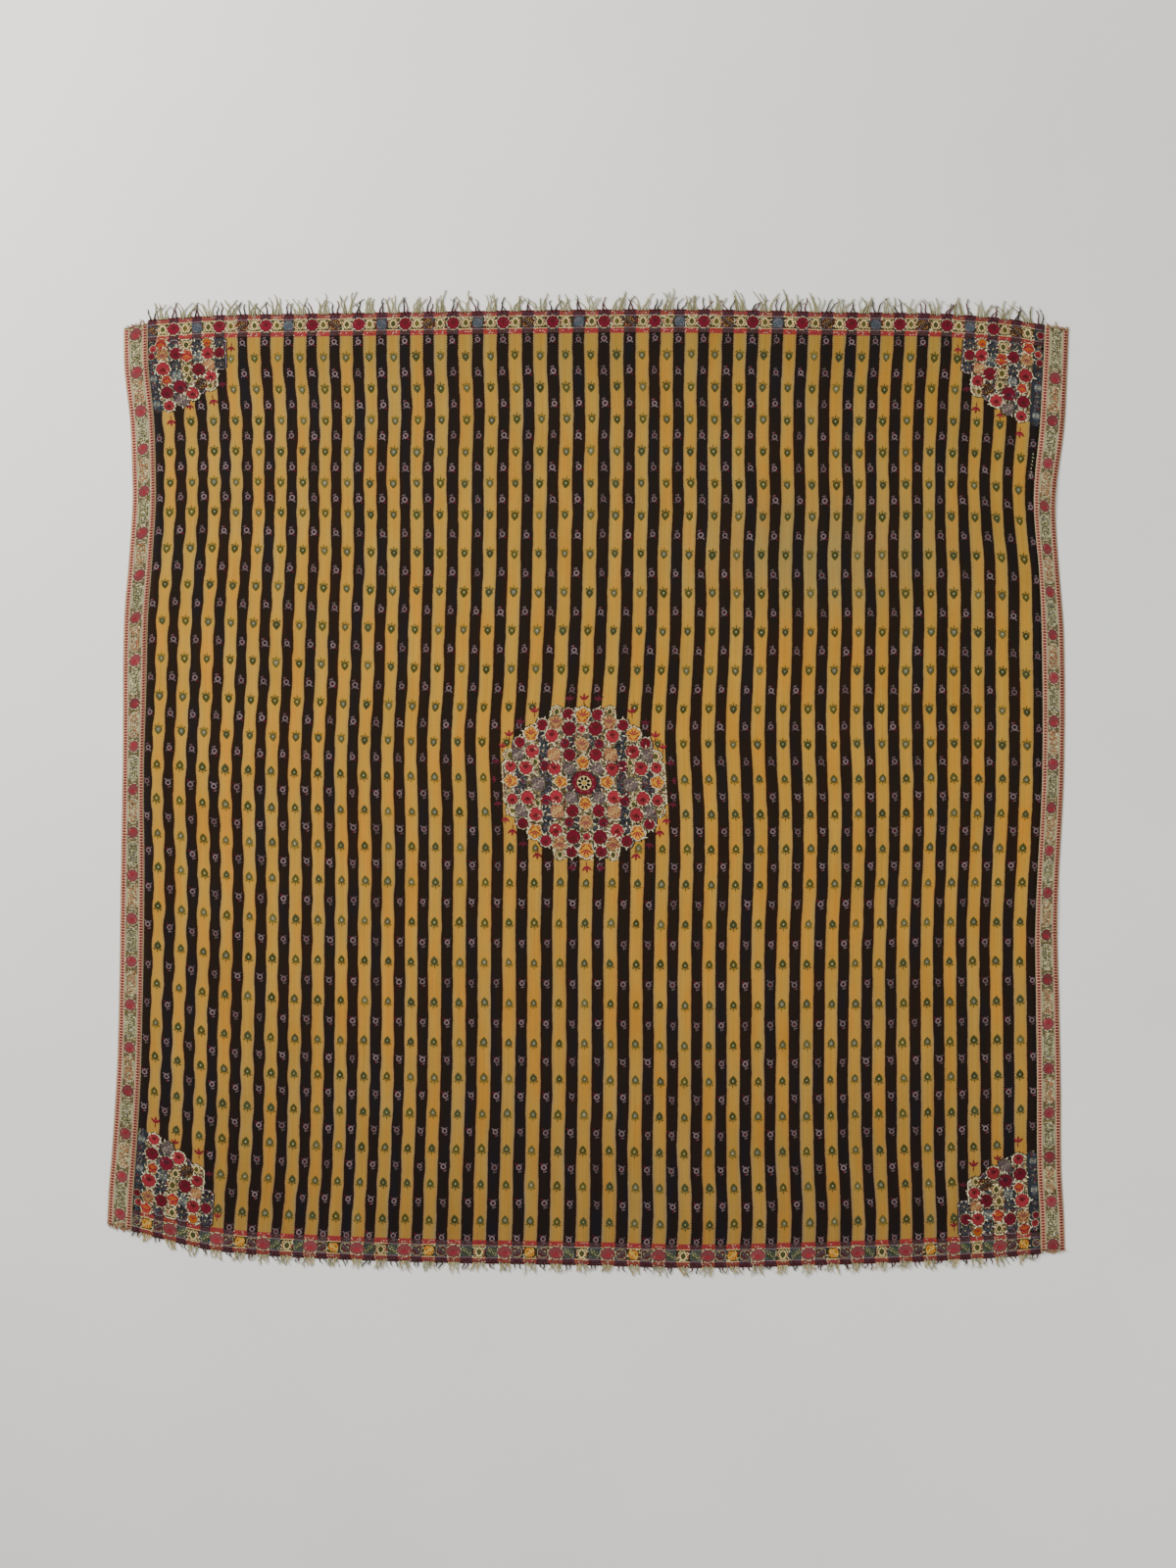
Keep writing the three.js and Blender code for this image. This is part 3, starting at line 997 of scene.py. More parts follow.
def breakOutline(bm, radius, height):
    # dark gaps that part the pale outline into leaves
    for angle in (0.5, 1.2, 2.1, 2.7, 3.7, 4.3, 5.2, 5.8):
        turn = angle - math.pi / 2 + 0.5
        thread(bm, "shadow", 0.40 * radius, 0.17 * radius, around(1.04 * radius, angle), turn, height)


def blossom(bm, main, deep, line, rim):
    # a full rose: fanned petals parted by dark lines, with one pale stroke at its side
    top = relief["blossom"]
    rings = [(1.0, top - 0.14, rim), (0.90, top - 0.06, "shadow"), (0.84, top, main)]
    disc(bm, 18, ruffled(23.0, 23.0, 9, 0.13), rings)
    for i in range(-2, 3):
        turn = -0.42 * i
        spot = (-4.0 * math.sin(turn), 4.0 * math.cos(turn) - 1.0)
        thread(bm, deep, 11.5 - 1.6 * abs(i), 1.5, spot, turn, relief["mark"])
    thread(bm, line, 5.5, 1.6, (-5.6, 3.0), 0.5, relief["mark"] + 0.02)
    breakOutline(bm, 10.0, top - 0.02)


def lotus(bm, main, deep, line, rim):
    # five outlined petals in a fan above a small foot
    top = relief["blossom"]
    rings = [(1.0, top - 0.14, rim), (0.91, top - 0.10, line), (0.84, top - 0.06, main)]
    disc(bm, 20, ruffled(22.5, 23.5, 5, 0.20), rings)
    for turn in (-0.93, -0.31, 0.31, 0.93):
        spot = (-5.0 * math.sin(turn), 5.0 * math.cos(turn) - 1.5)
        thread(bm, line, 10.5, 2.4, spot, turn, top + 0.02)
    for side in (-1, 1):
        thread(bm, line, 8.0, 2.2, (side * 3.6, -5.2), side * -0.9, relief["mark"])
        thread(bm, deep, 5.0, 2.0, (side * 6.2, -1.6), side * -1.2, relief["mark"])
    breakOutline(bm, 10.5, top - 0.02)


def tile(bm, main, first, second, rim):
    # a rounded square of short wefts
    top = relief["blossom"]
    rings = [(1.0, top - 0.14, "shadow"), (0.93, top - 0.08, rim), (0.84, top - 0.02, main)]
    disc(bm, 12, blocky(19.5, 19.5), rings)
    for i in range(5):
        for j in range(4):
            x = (j - 1.5 + 0.35 * math.sin(2.3 * i)) * 4.0
            y = (i - 2 + 0.25 * math.sin(3.1 * j + i)) * 3.3
            dye = (first, second, first, rim, second)[(2 * i + 3 * j) % 5]
            turn = (0.4, 1.9, 2.9, 1.2, 2.3, 0.9, 1.6)[(3 * i + 5 * j) % 7]
            thread(bm, dye, 3.6, 1.9, (x, y), turn, relief["mark"])


def leaves(bm, main, deep, line, rim):
    # a green bud between two leaves on a pale ground, with dark and red wefts about it
    top = relief["blossom"]
    disc(bm, 12, blocky(19.5, 19.5), [(1.0, top - 0.16, "shadow"), (0.92, top - 0.12, rim)])
    wefts = [(line, 6.0, 6.0, 0.9), (main, 6.2, -3.6, -0.8), ("red", 7.6, 1.0, 0.2), (line, 3.6, -7.6, -1.2)]
    for side in (-1, 1):
        for dye, x, y, turn in wefts:
            thread(bm, dye, 6.2, 2.8, (side * x, y), side * turn, top - 0.02)
    disc(bm, 8, tipped(9.2, 9.6, 0.4), [(1.0, top, line), (0.80, top + 0.03, main)], (0.0, 0.2))
    thread(bm, deep, 7.0, 2.0, (0.0, 0.0), 0.0, top + 0.08)
    thread(bm, line, 6.0, 1.8, (0.0, -6.2), 0.0, top)


def scroll(bm, main, deep, line, rim):
    # a dark patch of small curls
    top = relief["blossom"]
    disc(bm, 10, blocky(20.0, 20.0), [(1.0, top - 0.12, deep), (0.88, top - 0.1, main)])
    for i in range(6):
        angle = 2 * math.pi * i / 6 + 0.4
        spot = (5.6 * math.cos(angle), 6.2 * math.sin(angle))
        curl(bm, line if i % 3 == 1 else rim, 2.7, 1.6, 4.6 if i % 2 else -4.6, spot, 2.3 * angle, top)
    curl(bm, "cream", 2.4, 1.4, 4.4, (0.0, 0.0), 1.0, top)


def sprig(bm, main, line):
    # the small finial that points outwards
    top = relief["blossom"]
    for turn, length in ((-0.75, 9.0), (0.75, 9.0), (0.0, 11.0)):
        spot = (-5.5 * math.sin(turn), 4.5 * math.cos(turn))
        rings = [(1.0, top - 0.05, line), (0.58, top + 0.01, main)]
        disc(bm, 6, tipped(4.4, length, 0.4), rings, spot, turn)
    thread(bm, line, 11.0, 2.0, (0.0, -4.0), 0.0, top)


# what each chart name is built with: maker, main dye, heart, lines, outline. A tile has two dyes of wefts
# in place of heart and lines, and a sprig has only a main dye and its outline.
blossomKinds = {
    "crimsonRose": (blossom, "crimson", "maroon", "rose", "pale"),
    "redRose": (blossom, "red", "maroon", "salmon", "white"),
    "pinkRose": (blossom, "rose", "red", "salmon", "pale"),
    "orangeRose": (blossom, "orange", "red", "maroon", "pale"),
    "darkRose": (blossom, "crimson", "purple", "mauve", "mauve"),
    "goldLotus": (lotus, "gold", "maroon", "red", "white"),
    "orangeLily": (lotus, "red", "crimson", "orange", "white"),
    "tanLotus": (lotus, "tan", "green", "rose", "cream"),
    "greyTile": (tile, "heather", "straw", "shadow", "greyGreen"),
    "pinkTile": (tile, "tan", "cream", "rose", "salmon"),
    "goldTile": (tile, "gold", "cream", "red", "shadow"),
    "blueTile": (tile, "blueGrey", "slate", "heather", "slate"),
    "seaTile": (tile, "seaGreen", "straw", "slate", "blueGrey"),
    "brownTile": (tile, "shadow", "heather", "tan", "maroon"),
    "duskTile": (tile, "dusk", "heather", "crimson", "straw"),
    "greenLeaves": (leaves, "green", "seaGreen", "shadow", "cream"),
    "oliveLeaves": (leaves, "olive", "green", "shadow", "cream"),
    "blueScroll": (scroll, "slate", "black", "blueGrey", "heather"),
    "greyScroll": (scroll, "blueGrey", "slate", "greyGreen", "pale"),
    "redSprig": (sprig, "red", "crimson"),
    "purpleSprig": (sprig, "crimson", "purple"),
}
blossoms = {kind: template(*parts) for kind, parts in blossomKinds.items()}

# the three layers under a medallion, which leave a pale contour with a shadow line all round it
contour = {
    "shadow": {"height": 0.10, "beyond": 3.5},
    "line": {"height": 0.16, "beyond": 1.7},
    "ground": {"height": 0.22, "beyond": 0.2},
}
onLight = {"shadow": "shadow", "line": "white", "ground": "buff"}
onBlack = {"shadow": "black", "line": "mauve", "ground": "slate"}
plateCell = 8.0  # faces small enough to follow the cloth's curves


def plate(bm, width, length, dye, height):
    # a flat block with blunt corners
    dyeLayer = bm.faces.layers.int["dyeNumber"]
    columns, lines = math.ceil(width / plateCell), math.ceil(length / plateCell)
    made = bmesh.ops.create_grid(bm, x_segments=columns, y_segments=lines, size=0.5)
    bmesh.ops.scale(bm, vec=(width, length, 1.0), verts=made["verts"])
    blunt = min(3.5, width / 5)
    for vert in made["verts"]:
        if len(vert.link_faces) == 1:
            vert.co.x -= math.copysign(blunt, vert.co.x)
            vert.co.y -= math.copysign(blunt, vert.co.y)
    thicken(bm, bm.faces[:], height)
    for face in bm.faces:
        face[dyeLayer] = dyeNames.index(dye)


def layColumn(bm, across, low, high, width, colours, lift):
    # one half stripe of a medallion with its contour
    for name, layer in contour.items():
        grow = 2 * layer["beyond"]
        block = template(plate, width + grow, high - low + grow, colours[name], layer["height"])
        place(bm, block, across, (low + high) / 2, up=lift)


def backing(bm, dye, height):
    disc(bm, 16, lobed(20.0, 8, 0.04), [(1.0, height, dye)])


backings = {}
for colours in (onLight, onBlack):
    for name, layer in contour.items():
        backings[colours[name]] = template(backing, colours[name], layer["height"])


def layRim(bm, across, along, radius, colours):
    # the contour round one of the outermost blossoms
    for name, layer in contour.items():
        place(bm, backings[colours[name]], across, along, size=(radius + layer["beyond"]) / 10)


def layBlossom(bm, chance, kind, across, along, turn, unevenTurn, radius, shade=1.0):
    place(
        bm,
        blossoms[kind],
        across + chance.uniform(-0.6, 0.6),
        along + chance.uniform(-0.6, 0.6),
        turn + chance.uniform(-unevenTurn, unevenTurn),
        radius / 10,
        up=chance.uniform(0, 0.02),
        shade=shade * chance.uniform(0.86, 1.14),
    )


def wheel(bm, radius):
    # the round flower in the very middle
    top = relief["blossom"] + 0.02
    rings = [(1.0, top, "maroon"), (0.93, top + 0.02, "crimson")]
    rings += [(0.64, top + 0.04, "maroon"), (0.58, top + 0.06, "cream")]
    disc(bm, 24, lobed(2 * radius, 12, 0.025), rings)
    for i in range(8):
        angle = 2 * math.pi * i / 8 + math.pi / 8
        petal = [(1.0, top + 0.12, "black")]
        shape = tipped(0.24 * radius, 0.32 * radius, 0.3)
        disc(bm, 7, shape, petal, around(0.36 * radius, angle), angle - math.pi / 2)
        thread(bm, "rose", 0.30 * radius, 0.14 * radius, around(0.74 * radius, angle), angle, top + 0.1)
    disc(bm, 10, even(0.30 * radius, 0.30 * radius), [(1.0, top + 0.12, "olive"), (0.6, top + 0.15, "gold")])


# short wefts that fill a ground: edge, core, length, width
fillerKinds = {
    "creamBit": ("cream", "cream", 6.2, 1.9),
    "greenBit": ("shadow", "green", 5.6, 3.2),
    "redBit": ("maroon", "red", 5.0, 3.2),
    "darkBit": ("shadow", "maroon", 6.0, 2.2),
    "blueBit": ("slate", "blueGrey", 5.6, 3.0),
    "whiteBit": ("white", "white", 5.6, 1.7),
    "mauveBit": ("mauve", "mauve", 5.6, 1.8),
    "shadowBit": ("shadow", "shadow", 6.0, 2.4),
    "orangeBit": ("rose", "orange", 5.0, 3.0),
}


def filler(bm, edge, core, length, width):
    top = relief["ground"] + 0.1
    thread(bm, edge, length, width, (0.0, 0.0), 0.0, top)
    if core != edge:
        thread(bm, core, 0.7 * length, 0.7 * width, (0.0, 0.0), 0.0, top + 0.04)


def curlFiller(bm, dye):
    curl(bm, dye, 2.9, 1.4, 3.4, (0.0, 0.0), 0.0, relief["ground"] + 0.13)


fillers = {kind: template(filler, *parts) for kind, parts in fillerKinds.items()}
for kind, dye in (("creamCurl", "cream"), ("paleCurl", "straw"), ("mauveCurl", "mauve")):
    fillers[kind] = template(curlFiller, dye)
points = templates(filler, ("white", "white", 6.0, 1.8), ("shadow", "shadow", 6.0, 1.8))
onCream = [
    "whiteBit", "shadowBit", "greenBit", "creamBit", "redBit", "whiteBit", "darkBit", "creamCurl", "blueBit",
]
onDark = [
    "paleCurl", "mauveBit", "blueBit", "shadowBit", "blueBit", "redBit", "mauveCurl", "darkBit", "blueBit",
]


def fillSpots(chance, across, low, high, width, pitch):
    # uneven places for short wefts, a pitch apart
    lines = max(1, round((high - low) / pitch))
    columns = max(1, round(width / pitch))
    for i in range(lines):
        for j in range(columns):
            x = across + (j + 0.5 - columns / 2) * width / columns + chance.uniform(-1.0, 1.0)
            y = low + (i + 0.5) * (high - low) / lines + chance.uniform(-1.2, 1.2)
            yield x, y


def fillGround(bm, chance, across, low, high, width, kinds, taken, pitch=4.0, size=1.0, shade=1.0):
    # short wefts of colour in what the blossoms leave free
    for x, y in fillSpots(chance, across, low, high, width, pitch):
        if any(math.hypot(x - spot[0], y - spot[1]) < spot[2] for spot in taken):
            continue
        bit = fillers[chance.choice(kinds)]
        turn = math.pi / 2 + chance.uniform(-1.1, 1.1)
        place(bm, bit, x, y, turn, size, chance.uniform(0, 0.04), shade * chance.uniform(0.8, 1.2))


def layPoints(bm, chance, taken, shade):
    # pale and dark points that stand out round the blossoms
    for across, along, radius in taken:
        start = chance.uniform(0, 2 * math.pi)
        for i in range(7):
            angle = start + 2 * math.pi * i / 7 + chance.uniform(-0.25, 0.25)
            x, y = around(1.20 * radius, angle)
            if abs(along + y) > borderStart - 2:
                continue
            bit = chance.choice(points)
            turn = angle - math.pi / 2 + chance.uniform(-0.6, 0.6)
            place(bm, bit, across + x, along + y, turn, radius / 10, 0.16, shade)


# the centre medallion: kind, half stripe out from the middle, shift outwards, height, radius
centreChart = [
    ("goldLotus", 0, 0, 38, 12.5),
    ("tanLotus", 0, 0, 72, 13),
    ("redRose", 0, 0, 100, 7.5),
    ("goldLotus", 0, 0, 126, 15),
    ("redSprig", 0, 0, 155, 11),
    ("greyTile", 1, 3, 27, 12.5),
    ("crimsonRose", 1, 1, 52, 13),
    ("darkRose", 1, 8, 73, 9.5),
    ("crimsonRose", 1, 1, 101, 14.5),
    ("crimsonRose", 1, 4, 128, 11.5),
    ("purpleSprig", 1, 3, 154, 11),
    ("goldLotus", 2, -5, 2, 12.5),
    ("redRose", 2, 6, 26, 13.5),
    ("pinkTile", 2, 5, 53, 13.5),
    ("redRose", 2, 9, 88, 13.5),
    ("tanLotus", 2, 2, 113, 14),
    ("greenLeaves", 2, 2, 133, 9.5),
    ("darkRose", 3, 1, 32, 10.5),
    ("blueScroll", 3, 1, 59, 13),
    ("blueScroll", 3, 0, 83, 10.5),
    ("crimsonRose", 3, 4, 108, 11.5),
    ("greenLeaves", 4, -7, 38, 9),
    ("redRose", 4, -2, 58, 14),
    ("goldLotus", 4, 0, 91, 14),
    ("redSprig", 4, -4, 131, 11),
    ("redRose", 5, -11, 28, 14),
    ("greyTile", 5, 2, 53, 13),
    ("crimsonRose", 5, -1, 75, 11),
    ("purpleSprig", 5, -1, 110, 11),
    ("goldLotus", 6, -5, 3, 13),
    ("redRose", 6, -6, 30, 11.5),
    ("oliveLeaves", 6, -5, 51, 10),
    ("redSprig", 6, -5, 87, 11),
    ("redSprig", 6, 8, 65, 10),
    ("purpleSprig", 7, -1, 35, 10),
    ("purpleSprig", 7, 0, 6, 9),
]
centre = {
    "yellowWidth": 26.0,  # how wide the ground is in each half stripe
    "blackWidth": 22.0,
    "lastWidth": 18.0,
    "ground": 0.88,  # how bright the ground's wefts are
    "wheel": 23.0,
    "besideWheel": 14.5,  # the two large grey tiles
    "unevenTurn": 0.1,
}


def makeCentre():
    chance = random.Random(21)
    bm = newPiece()
    columns = []
    for out, reach in enumerate(centreReach):
        for side in (-1, 1) if out else (1,):
            across = stripeAt(centreStripe + side * out / 2)
            columns.append((out, across, centrePlace - reach + 4, centrePlace + reach - 4))
    for order, (out, across, low, high) in enumerate(columns):
        width = centre["blackWidth"] if out % 2 else centre["yellowWidth"]
        if out == len(centreReach) - 1:
            width = centre["lastWidth"]
        layColumn(bm, across, low, high, width, onBlack if out % 2 else onLight, 0.002 * order)
    taken = []
    for kind, out, shift, height, radius in centreChart:
        for side in (-1, 1) if out else (1,):
            for end in (-1, 1) if height > 8 else (1,):
                across = stripeAt(centreStripe + side * out / 2) + side * shift
                along = centrePlace + end * height
                turn = (0.0 if end > 0 else math.pi) if height > 8 else -side * math.pi / 2
                if "Sprig" not in kind:
                    layRim(bm, across, along, radius, onBlack if out % 2 else onLight)
                    taken.append((across, along, radius * 1.02))
                layBlossom(bm, chance, kind, across, along, turn, centre["unevenTurn"], radius)
    for side in (-1, 1):
        across = stripeAt(centreStripe + side * 1.5) + side * 15
        place(bm, blossoms["greyTile"], across, centrePlace - 2, size=centre["besideWheel"] / 10)
        taken.append((across, centrePlace - 2, centre["besideWheel"]))
    place(bm, template(wheel, centre["wheel"]), stripeAt(centreStripe), centrePlace, up=0.03)
    taken.append((stripeAt(centreStripe), centrePlace, centre["wheel"]))
    for out, across, low, high in columns:
        kinds = onDark if out % 2 else onCream
        fillGround(bm, chance, across, low, high, centre["blackWidth"], kinds, taken, shade=centre["ground"])
    layPoints(bm, chance, taken[:-1], centre["ground"])
    return finishMotifs(bm, "centreMedallion", motifMaterial, ["field"])


centreMedallion = makeCentre()
print("centre medallion woven")

# a corner medallion: kind, half stripe in from the side, shift inwards, depth from the end border, radius
cornerChart = [
    ("redRose", 0, 2, 14, 7),
    ("crimsonRose", 0, -1, 28, 7),
    ("blueScroll", 0, 0, 48, 7.5),
    ("greyScroll", 0, 0, 70, 7.5),
    ("blueScroll", 0, 0, 94, 7.5),
    ("greyScroll", 0, 0, 118, 7.5),
    ("orangeLily", 1, -2, 6, 11),
    ("tanLotus", 1, 0, 26, 12),
    ("redRose", 1, 0, 53, 14),
    ("orangeLily", 1, 5, 75, 10),
    ("crimsonRose", 1, 2, 98, 13),
    ("redRose", 1, 4, 122, 11),
    ("redSprig", 1, 5, 150, 11),
    ("crimsonRose", 2, 3, 25, 12.5),
    ("blueScroll", 2, 3, 48, 10),
    ("greyScroll", 2, 3, 66, 10),
    ("darkRose", 2, 8, 88, 14),
    ("greyTile", 2, 8, 113, 12),
    ("greenLeaves", 3, 2, 9, 10),
    ("orangeLily", 3, 3, 31, 12),
    ("oliveLeaves", 3, 1, 54, 11),
    ("greenLeaves", 3, 4, 74, 10),
    ("redRose", 3, 8, 101, 13),
    ("redSprig", 3, 0, 123, 9),
    ("blueScroll", 4, 0, 14, 10),
    ("greyScroll", 4, 0, 33, 10),
    ("crimsonRose", 4, 2, 57, 13.5),
    ("brownTile", 4, 4, 83, 12),
    ("orangeRose", 5, -2, 7, 9),
    ("redRose", 5, -2, 27, 13),
    ("pinkTile", 5, 1, 49, 11),
    ("redRose", 5, 2, 70, 12),
    ("oliveLeaves", 5, -1, 88, 9),
    ("redSprig", 5, 2, 114, 11),
    ("blueScroll", 6, 0, 8, 9),
    ("crimsonRose", 6, -1, 28, 11),
    ("blueScroll", 6, 1, 48, 9),
    ("redSprig", 7, 0, 17, 9),
    ("purpleSprig", 6, 1, 82, 10),
]
cornerLook = {
    "yellowWidth": 25.0,  # how wide the ground is in each half stripe
    "blackWidth": 21.0,
    "sideWidth": 19.0,  # and in the half black stripe beside the seam
    "sideMiddle": 10.5,  # where that ground lies, in from the seam
    "sideStripe": 8.0,  # where its blossoms stand
    "sideFill": 10.0,
    "unevenTurn": 0.12,
}


def weaveCorner(bm, chance, side, end, corner):
    longer = corner["longer"]
    columns = [stripeAt(centreStripe + side * (centreStripe + 0.5 - inwards / 2)) for inwards in range(8)]
    columns[0] = side * (seam - cornerLook["sideStripe"])
    for inwards, reach in enumerate(cornerReach):
        low, high = sorted((end * (borderStart - reach * longer + 3), end * (borderStart - 1)))
        if inwards > 0:
            width = cornerLook["yellowWidth"] if inwards % 2 else cornerLook["blackWidth"]
            colours = onLight if inwards % 2 else onBlack
            layColumn(bm, columns[inwards], low, high, width, colours, 0.002 * inwards)
        else:
            ground = template(plate, cornerLook["sideWidth"], high - low, "slate", 0.24)
            place(bm, ground, side * (seam - cornerLook["sideMiddle"]), (low + high) / 2, up=0.02)
    taken = []
    for kind, inwards, shift, depth, radius in cornerChart:
        across = columns[inwards] - side * shift
        along = end * (borderStart - depth * longer)
        if "Sprig" not in kind:
            taken.append((across, along, radius))
            if depth > radius + 5 and inwards > 0:
                layRim(bm, across, along, radius, onLight if inwards % 2 else onBlack)
        turn = math.pi if end > 0 else 0.0
        uneven = cornerLook["unevenTurn"]
        # corner['blossoms'] darkens the blossoms with painted shade against the window light
        layBlossom(bm, chance, kind, across, along, turn, uneven, radius, corner["blossoms"])
    # corner['ground'] darkens the ground's wefts and points with painted shade against the window light
    for inwards, reach in enumerate(cornerReach):
        low, high = sorted((end * (borderStart - reach * longer + 4), end * borderStart))
        width = cornerLook["blackWidth"] if inwards else cornerLook["sideFill"]
        kinds = onCream if inwards % 2 else onDark
        fillGround(bm, chance, columns[inwards], low, high, width, kinds, taken, shade=corner["ground"])
    layPoints(bm, chance, [spot for spot in taken if abs(spot[0]) < seam - 16], corner["ground"])


def makeCorners():
    chance = random.Random(22)
    bm = newPiece()
    for (side, end), corner in corners.items():
        weaveCorner(bm, chance, side, end, corner)
    return finishMotifs(bm, "cornerMedallions", motifMaterial, ["field"])


cornerMedallions = makeCorners()
print("corner medallions woven")

# End borders: two guards and a row of flowers between them, changing with each stripe

endBorder = {
    "innerGuard": 5.5,  # from the border's inner edge
    "flowers": 21.5,
    "outerGuard": 37.5,
    "guardStep": 4.6,
    "guardLines": 3.0,  # how far apart the three lines of a guard are
    "slant": 1.4,  # how far each line is shifted across
    "yellowWidth": 25.0,
    "blackWidth": 20.0,
    "flowersWidth": 10.5,  # half the height of the row of flowers
    "lastFlower": 7.5,
    "tallest": 12.3,
    "topKinds": ["brownTile", "crimsonRose", "blueTile", "crimsonRose"],
    "bottomKinds": [
        "duskTile", "goldTile", "duskTile", "pinkRose", "seaTile", "greenLeaves", "seaTile", "pinkRose",
    ],
}


def guardBit(bm, dye, core, width, height):
    top = relief["ground"] + 0.05
    disc(bm, 4, blocky(width, height), [(1.0, top, dye), (0.5, top + 0.04, core)])


guardsOnYellow = templates(
    guardBit,
    ("crimson", "salmon", 4.4, 2.8),
    ("red", "orange", 4.4, 2.6),
    ("crimson", "gold", 4.4, 2.8),
    ("pale", "pale", 4.0, 1.6),
)
guardsOnBlack = templates(
    guardBit,
    ("purple", "mauve", 4.0, 2.6),
    ("maroon", "dusk", 4.0, 2.8),
    ("dusk", "crimson", 4.0, 2.8),
    ("dusk", "heather", 4.0, 2.4),
)


def endKind(end, half):
    # which flower stands at this half stripe of an end border, and its radius
    if end < 0:
        kind = endBorder["bottomKinds"][half % 8]
        return (kind, 15.0 if "Rose" in kind else 10.5)
    if half % 2:
        return (("greenLeaves", "oliveLeaves")[(half // 2) % 2], 10.0)
    kind = endBorder["topKinds"][(half // 2) % 4]
    return (kind, 12.5 if "Rose" in kind else 10.5)


def makeEndBorder(end, name):
    chance = random.Random(30 + end)
    bm = newPiece()
    facing = 0.0 if end > 0 else math.pi
    middle = end * (borderStart + endBorder["flowers"])
    for half in range(2 * yellowStripes + 1):
        across = stripeAt(half / 2 - 0.5)
        width = endBorder["yellowWidth"] if half % 2 else endBorder["blackWidth"]
        count = round(width / endBorder["guardStep"])
        for guard in ("innerGuard", "outerGuard"):
            for line in (-1, 0, 1):
                for i in range(count):
                    x = across + (i + 0.5 - count / 2) * width / count + line * endBorder["slant"]
                    if abs(x) > fieldEdge - 3:
                        continue
                    y = end * (borderStart + endBorder[guard] + line * endBorder["guardLines"])
                    bit = chance.choice(guardsOnYellow if half % 2 else guardsOnBlack)
                    place(bm, bit, x, y, chance.uniform(-0.4, 0.4), shade=chance.uniform(0.85, 1.15))
        kind, radius = endKind(end, half)
        if abs(across) > fieldEdge - 12:
            radius = endBorder["lastFlower"]
        place(
            bm,
            blossoms[kind],
            across + chance.uniform(-0.8, 0.8),
            middle,
            facing + chance.uniform(-0.12, 0.12),
            (chance.choice((-1, 1)) * radius / 10, min(radius, endBorder["tallest"]) / 10),
            shade=chance.uniform(0.86, 1.12),
        )
        taken = [(across, middle, radius)]
        reach = min(width / 2, fieldEdge - 3 - abs(across))
        kinds = onCream if half % 2 else onDark
        low = middle - endBorder["flowersWidth"]
        high = middle + endBorder["flowersWidth"]
        fillGround(bm, chance, across, low, high, 2 * reach, kinds, taken)
    return finishMotifs(bm, name, motifMaterial, ["field"])


topEnd = makeEndBorder(1, "topEndFlowers")
bottomEnd = makeEndBorder(-1, "bottomEndFlowers")
print("end borders woven")

# Side borders: roses, with scroll panels between them that are grey-green or orange by turns

sideBorder = {
    "rose": 12.0,
    "panelLength": 50.0,
    "panelWidth": 21.5,
    "bitSize": 0.78,
    "roseGroundPitch": 4.6,
    "panelPitches": (3.6, 4.4),
    "panels": [
        ["greenBit", "shadowBit", "whiteBit", "blueBit", "greenBit", "mauveBit", "shadowBit"],
        ["greenBit", "orangeBit", "whiteBit", "orangeBit", "redBit", "mauveBit", "orangeBit"],
    ],
    "roseGround": ["greenBit", "creamBit", "shadowBit", "whiteBit", "greenBit", "blueBit"],
}


def makeSideFlowers(border):
    chance = random.Random(40 + border["side"])
    bm = newPiece()
    middle = border["side"] * (halfWidth + seam) / 2
    low = -halfLength + border["bottomSlip"] + 2
    high = halfLength - border["topSlip"] - 2
    steps, spots = zip(*border["roses"])
    places = [float(np.interp(step, steps, spots)) for step in range(steps[-1] + 1)]
    width = sideBorder["panelWidth"]
    size = sideBorder["bitSize"]
    # border['shade'] is painted shade that evens out the window light on the left border
    shade = border["shade"]
    pitch = sideBorder["roseGroundPitch"]
    fillGround(bm, chance, middle, low, high, width - 1, sideBorder["roseGround"], [], pitch, size, shade)
    for i in range(len(places) - 1):
        reach = sideBorder["panelLength"] / 2
        between = (places[i] + places[i + 1]) / 2
        bottom = max(between - reach, low)
        top = high if i < border["firstRose"] else min(between + reach, high)
        for dye, less, height in (("pale", 0.0, 0.34), ("straw", 1.8, 0.38)):
            block = template(plate, width - less, top - bottom - less, dye, height)
            place(bm, block, middle, (bottom + top) / 2, shade=shade * chance.uniform(0.85, 1.1))
        for pitch in sideBorder["panelPitches"]:
            for x, y in fillSpots(chance, middle, bottom + 2, top - 2, width - 4, pitch):
                bit = fillers[chance.choice(sideBorder["panels"][i % 2])]
                turn = chance.uniform(0, 2 * math.pi)
                place(bm, bit, x, y, turn, size, 0.12 + chance.uniform(0, 0.04), shade)
    for along in places[border["firstRose"] :]:
        if along > high - 4 or along < low + 4:
            continue
        roseSize = sideBorder["rose"] / 10 * chance.uniform(0.94, 1.06)
        place(
            bm,
            blossoms["pinkRose"],
            middle + chance.uniform(-0.7, 0.7),
            along,
            chance.choice((0.0, math.pi)) + chance.uniform(-0.3, 0.3),
            (roseSize, roseSize * 1.04),
            up=0.08,
            shade=chance.uniform(0.8, 1.1),
        )
    name = "sideFlowers" + border["name"]
    return finishMotifs(bm, name, motifMaterial, [border["node"]], 0.1)


sideFlowers = [makeSideFlowers(border) for border in sideBorders]
print("side borders woven")

# Sewing that joins the side borders on

sewing = {
    "pitch": 7.5,
    "length": 5.5,
    "width": 1.0,
    "inset": 10.0,  # from the ends of the cloth
    "mendStart": 598.0,
    "mendPitch": 7.0,
}
stitchMesh = template(thread, "tan", sewing["length"], sewing["width"], (0.0, 0.0), 0.0, 0.35)
mendMesh = template(thread, "pale", 5.0, 1.6, (0.0, 0.0), 0.0, 0.6)


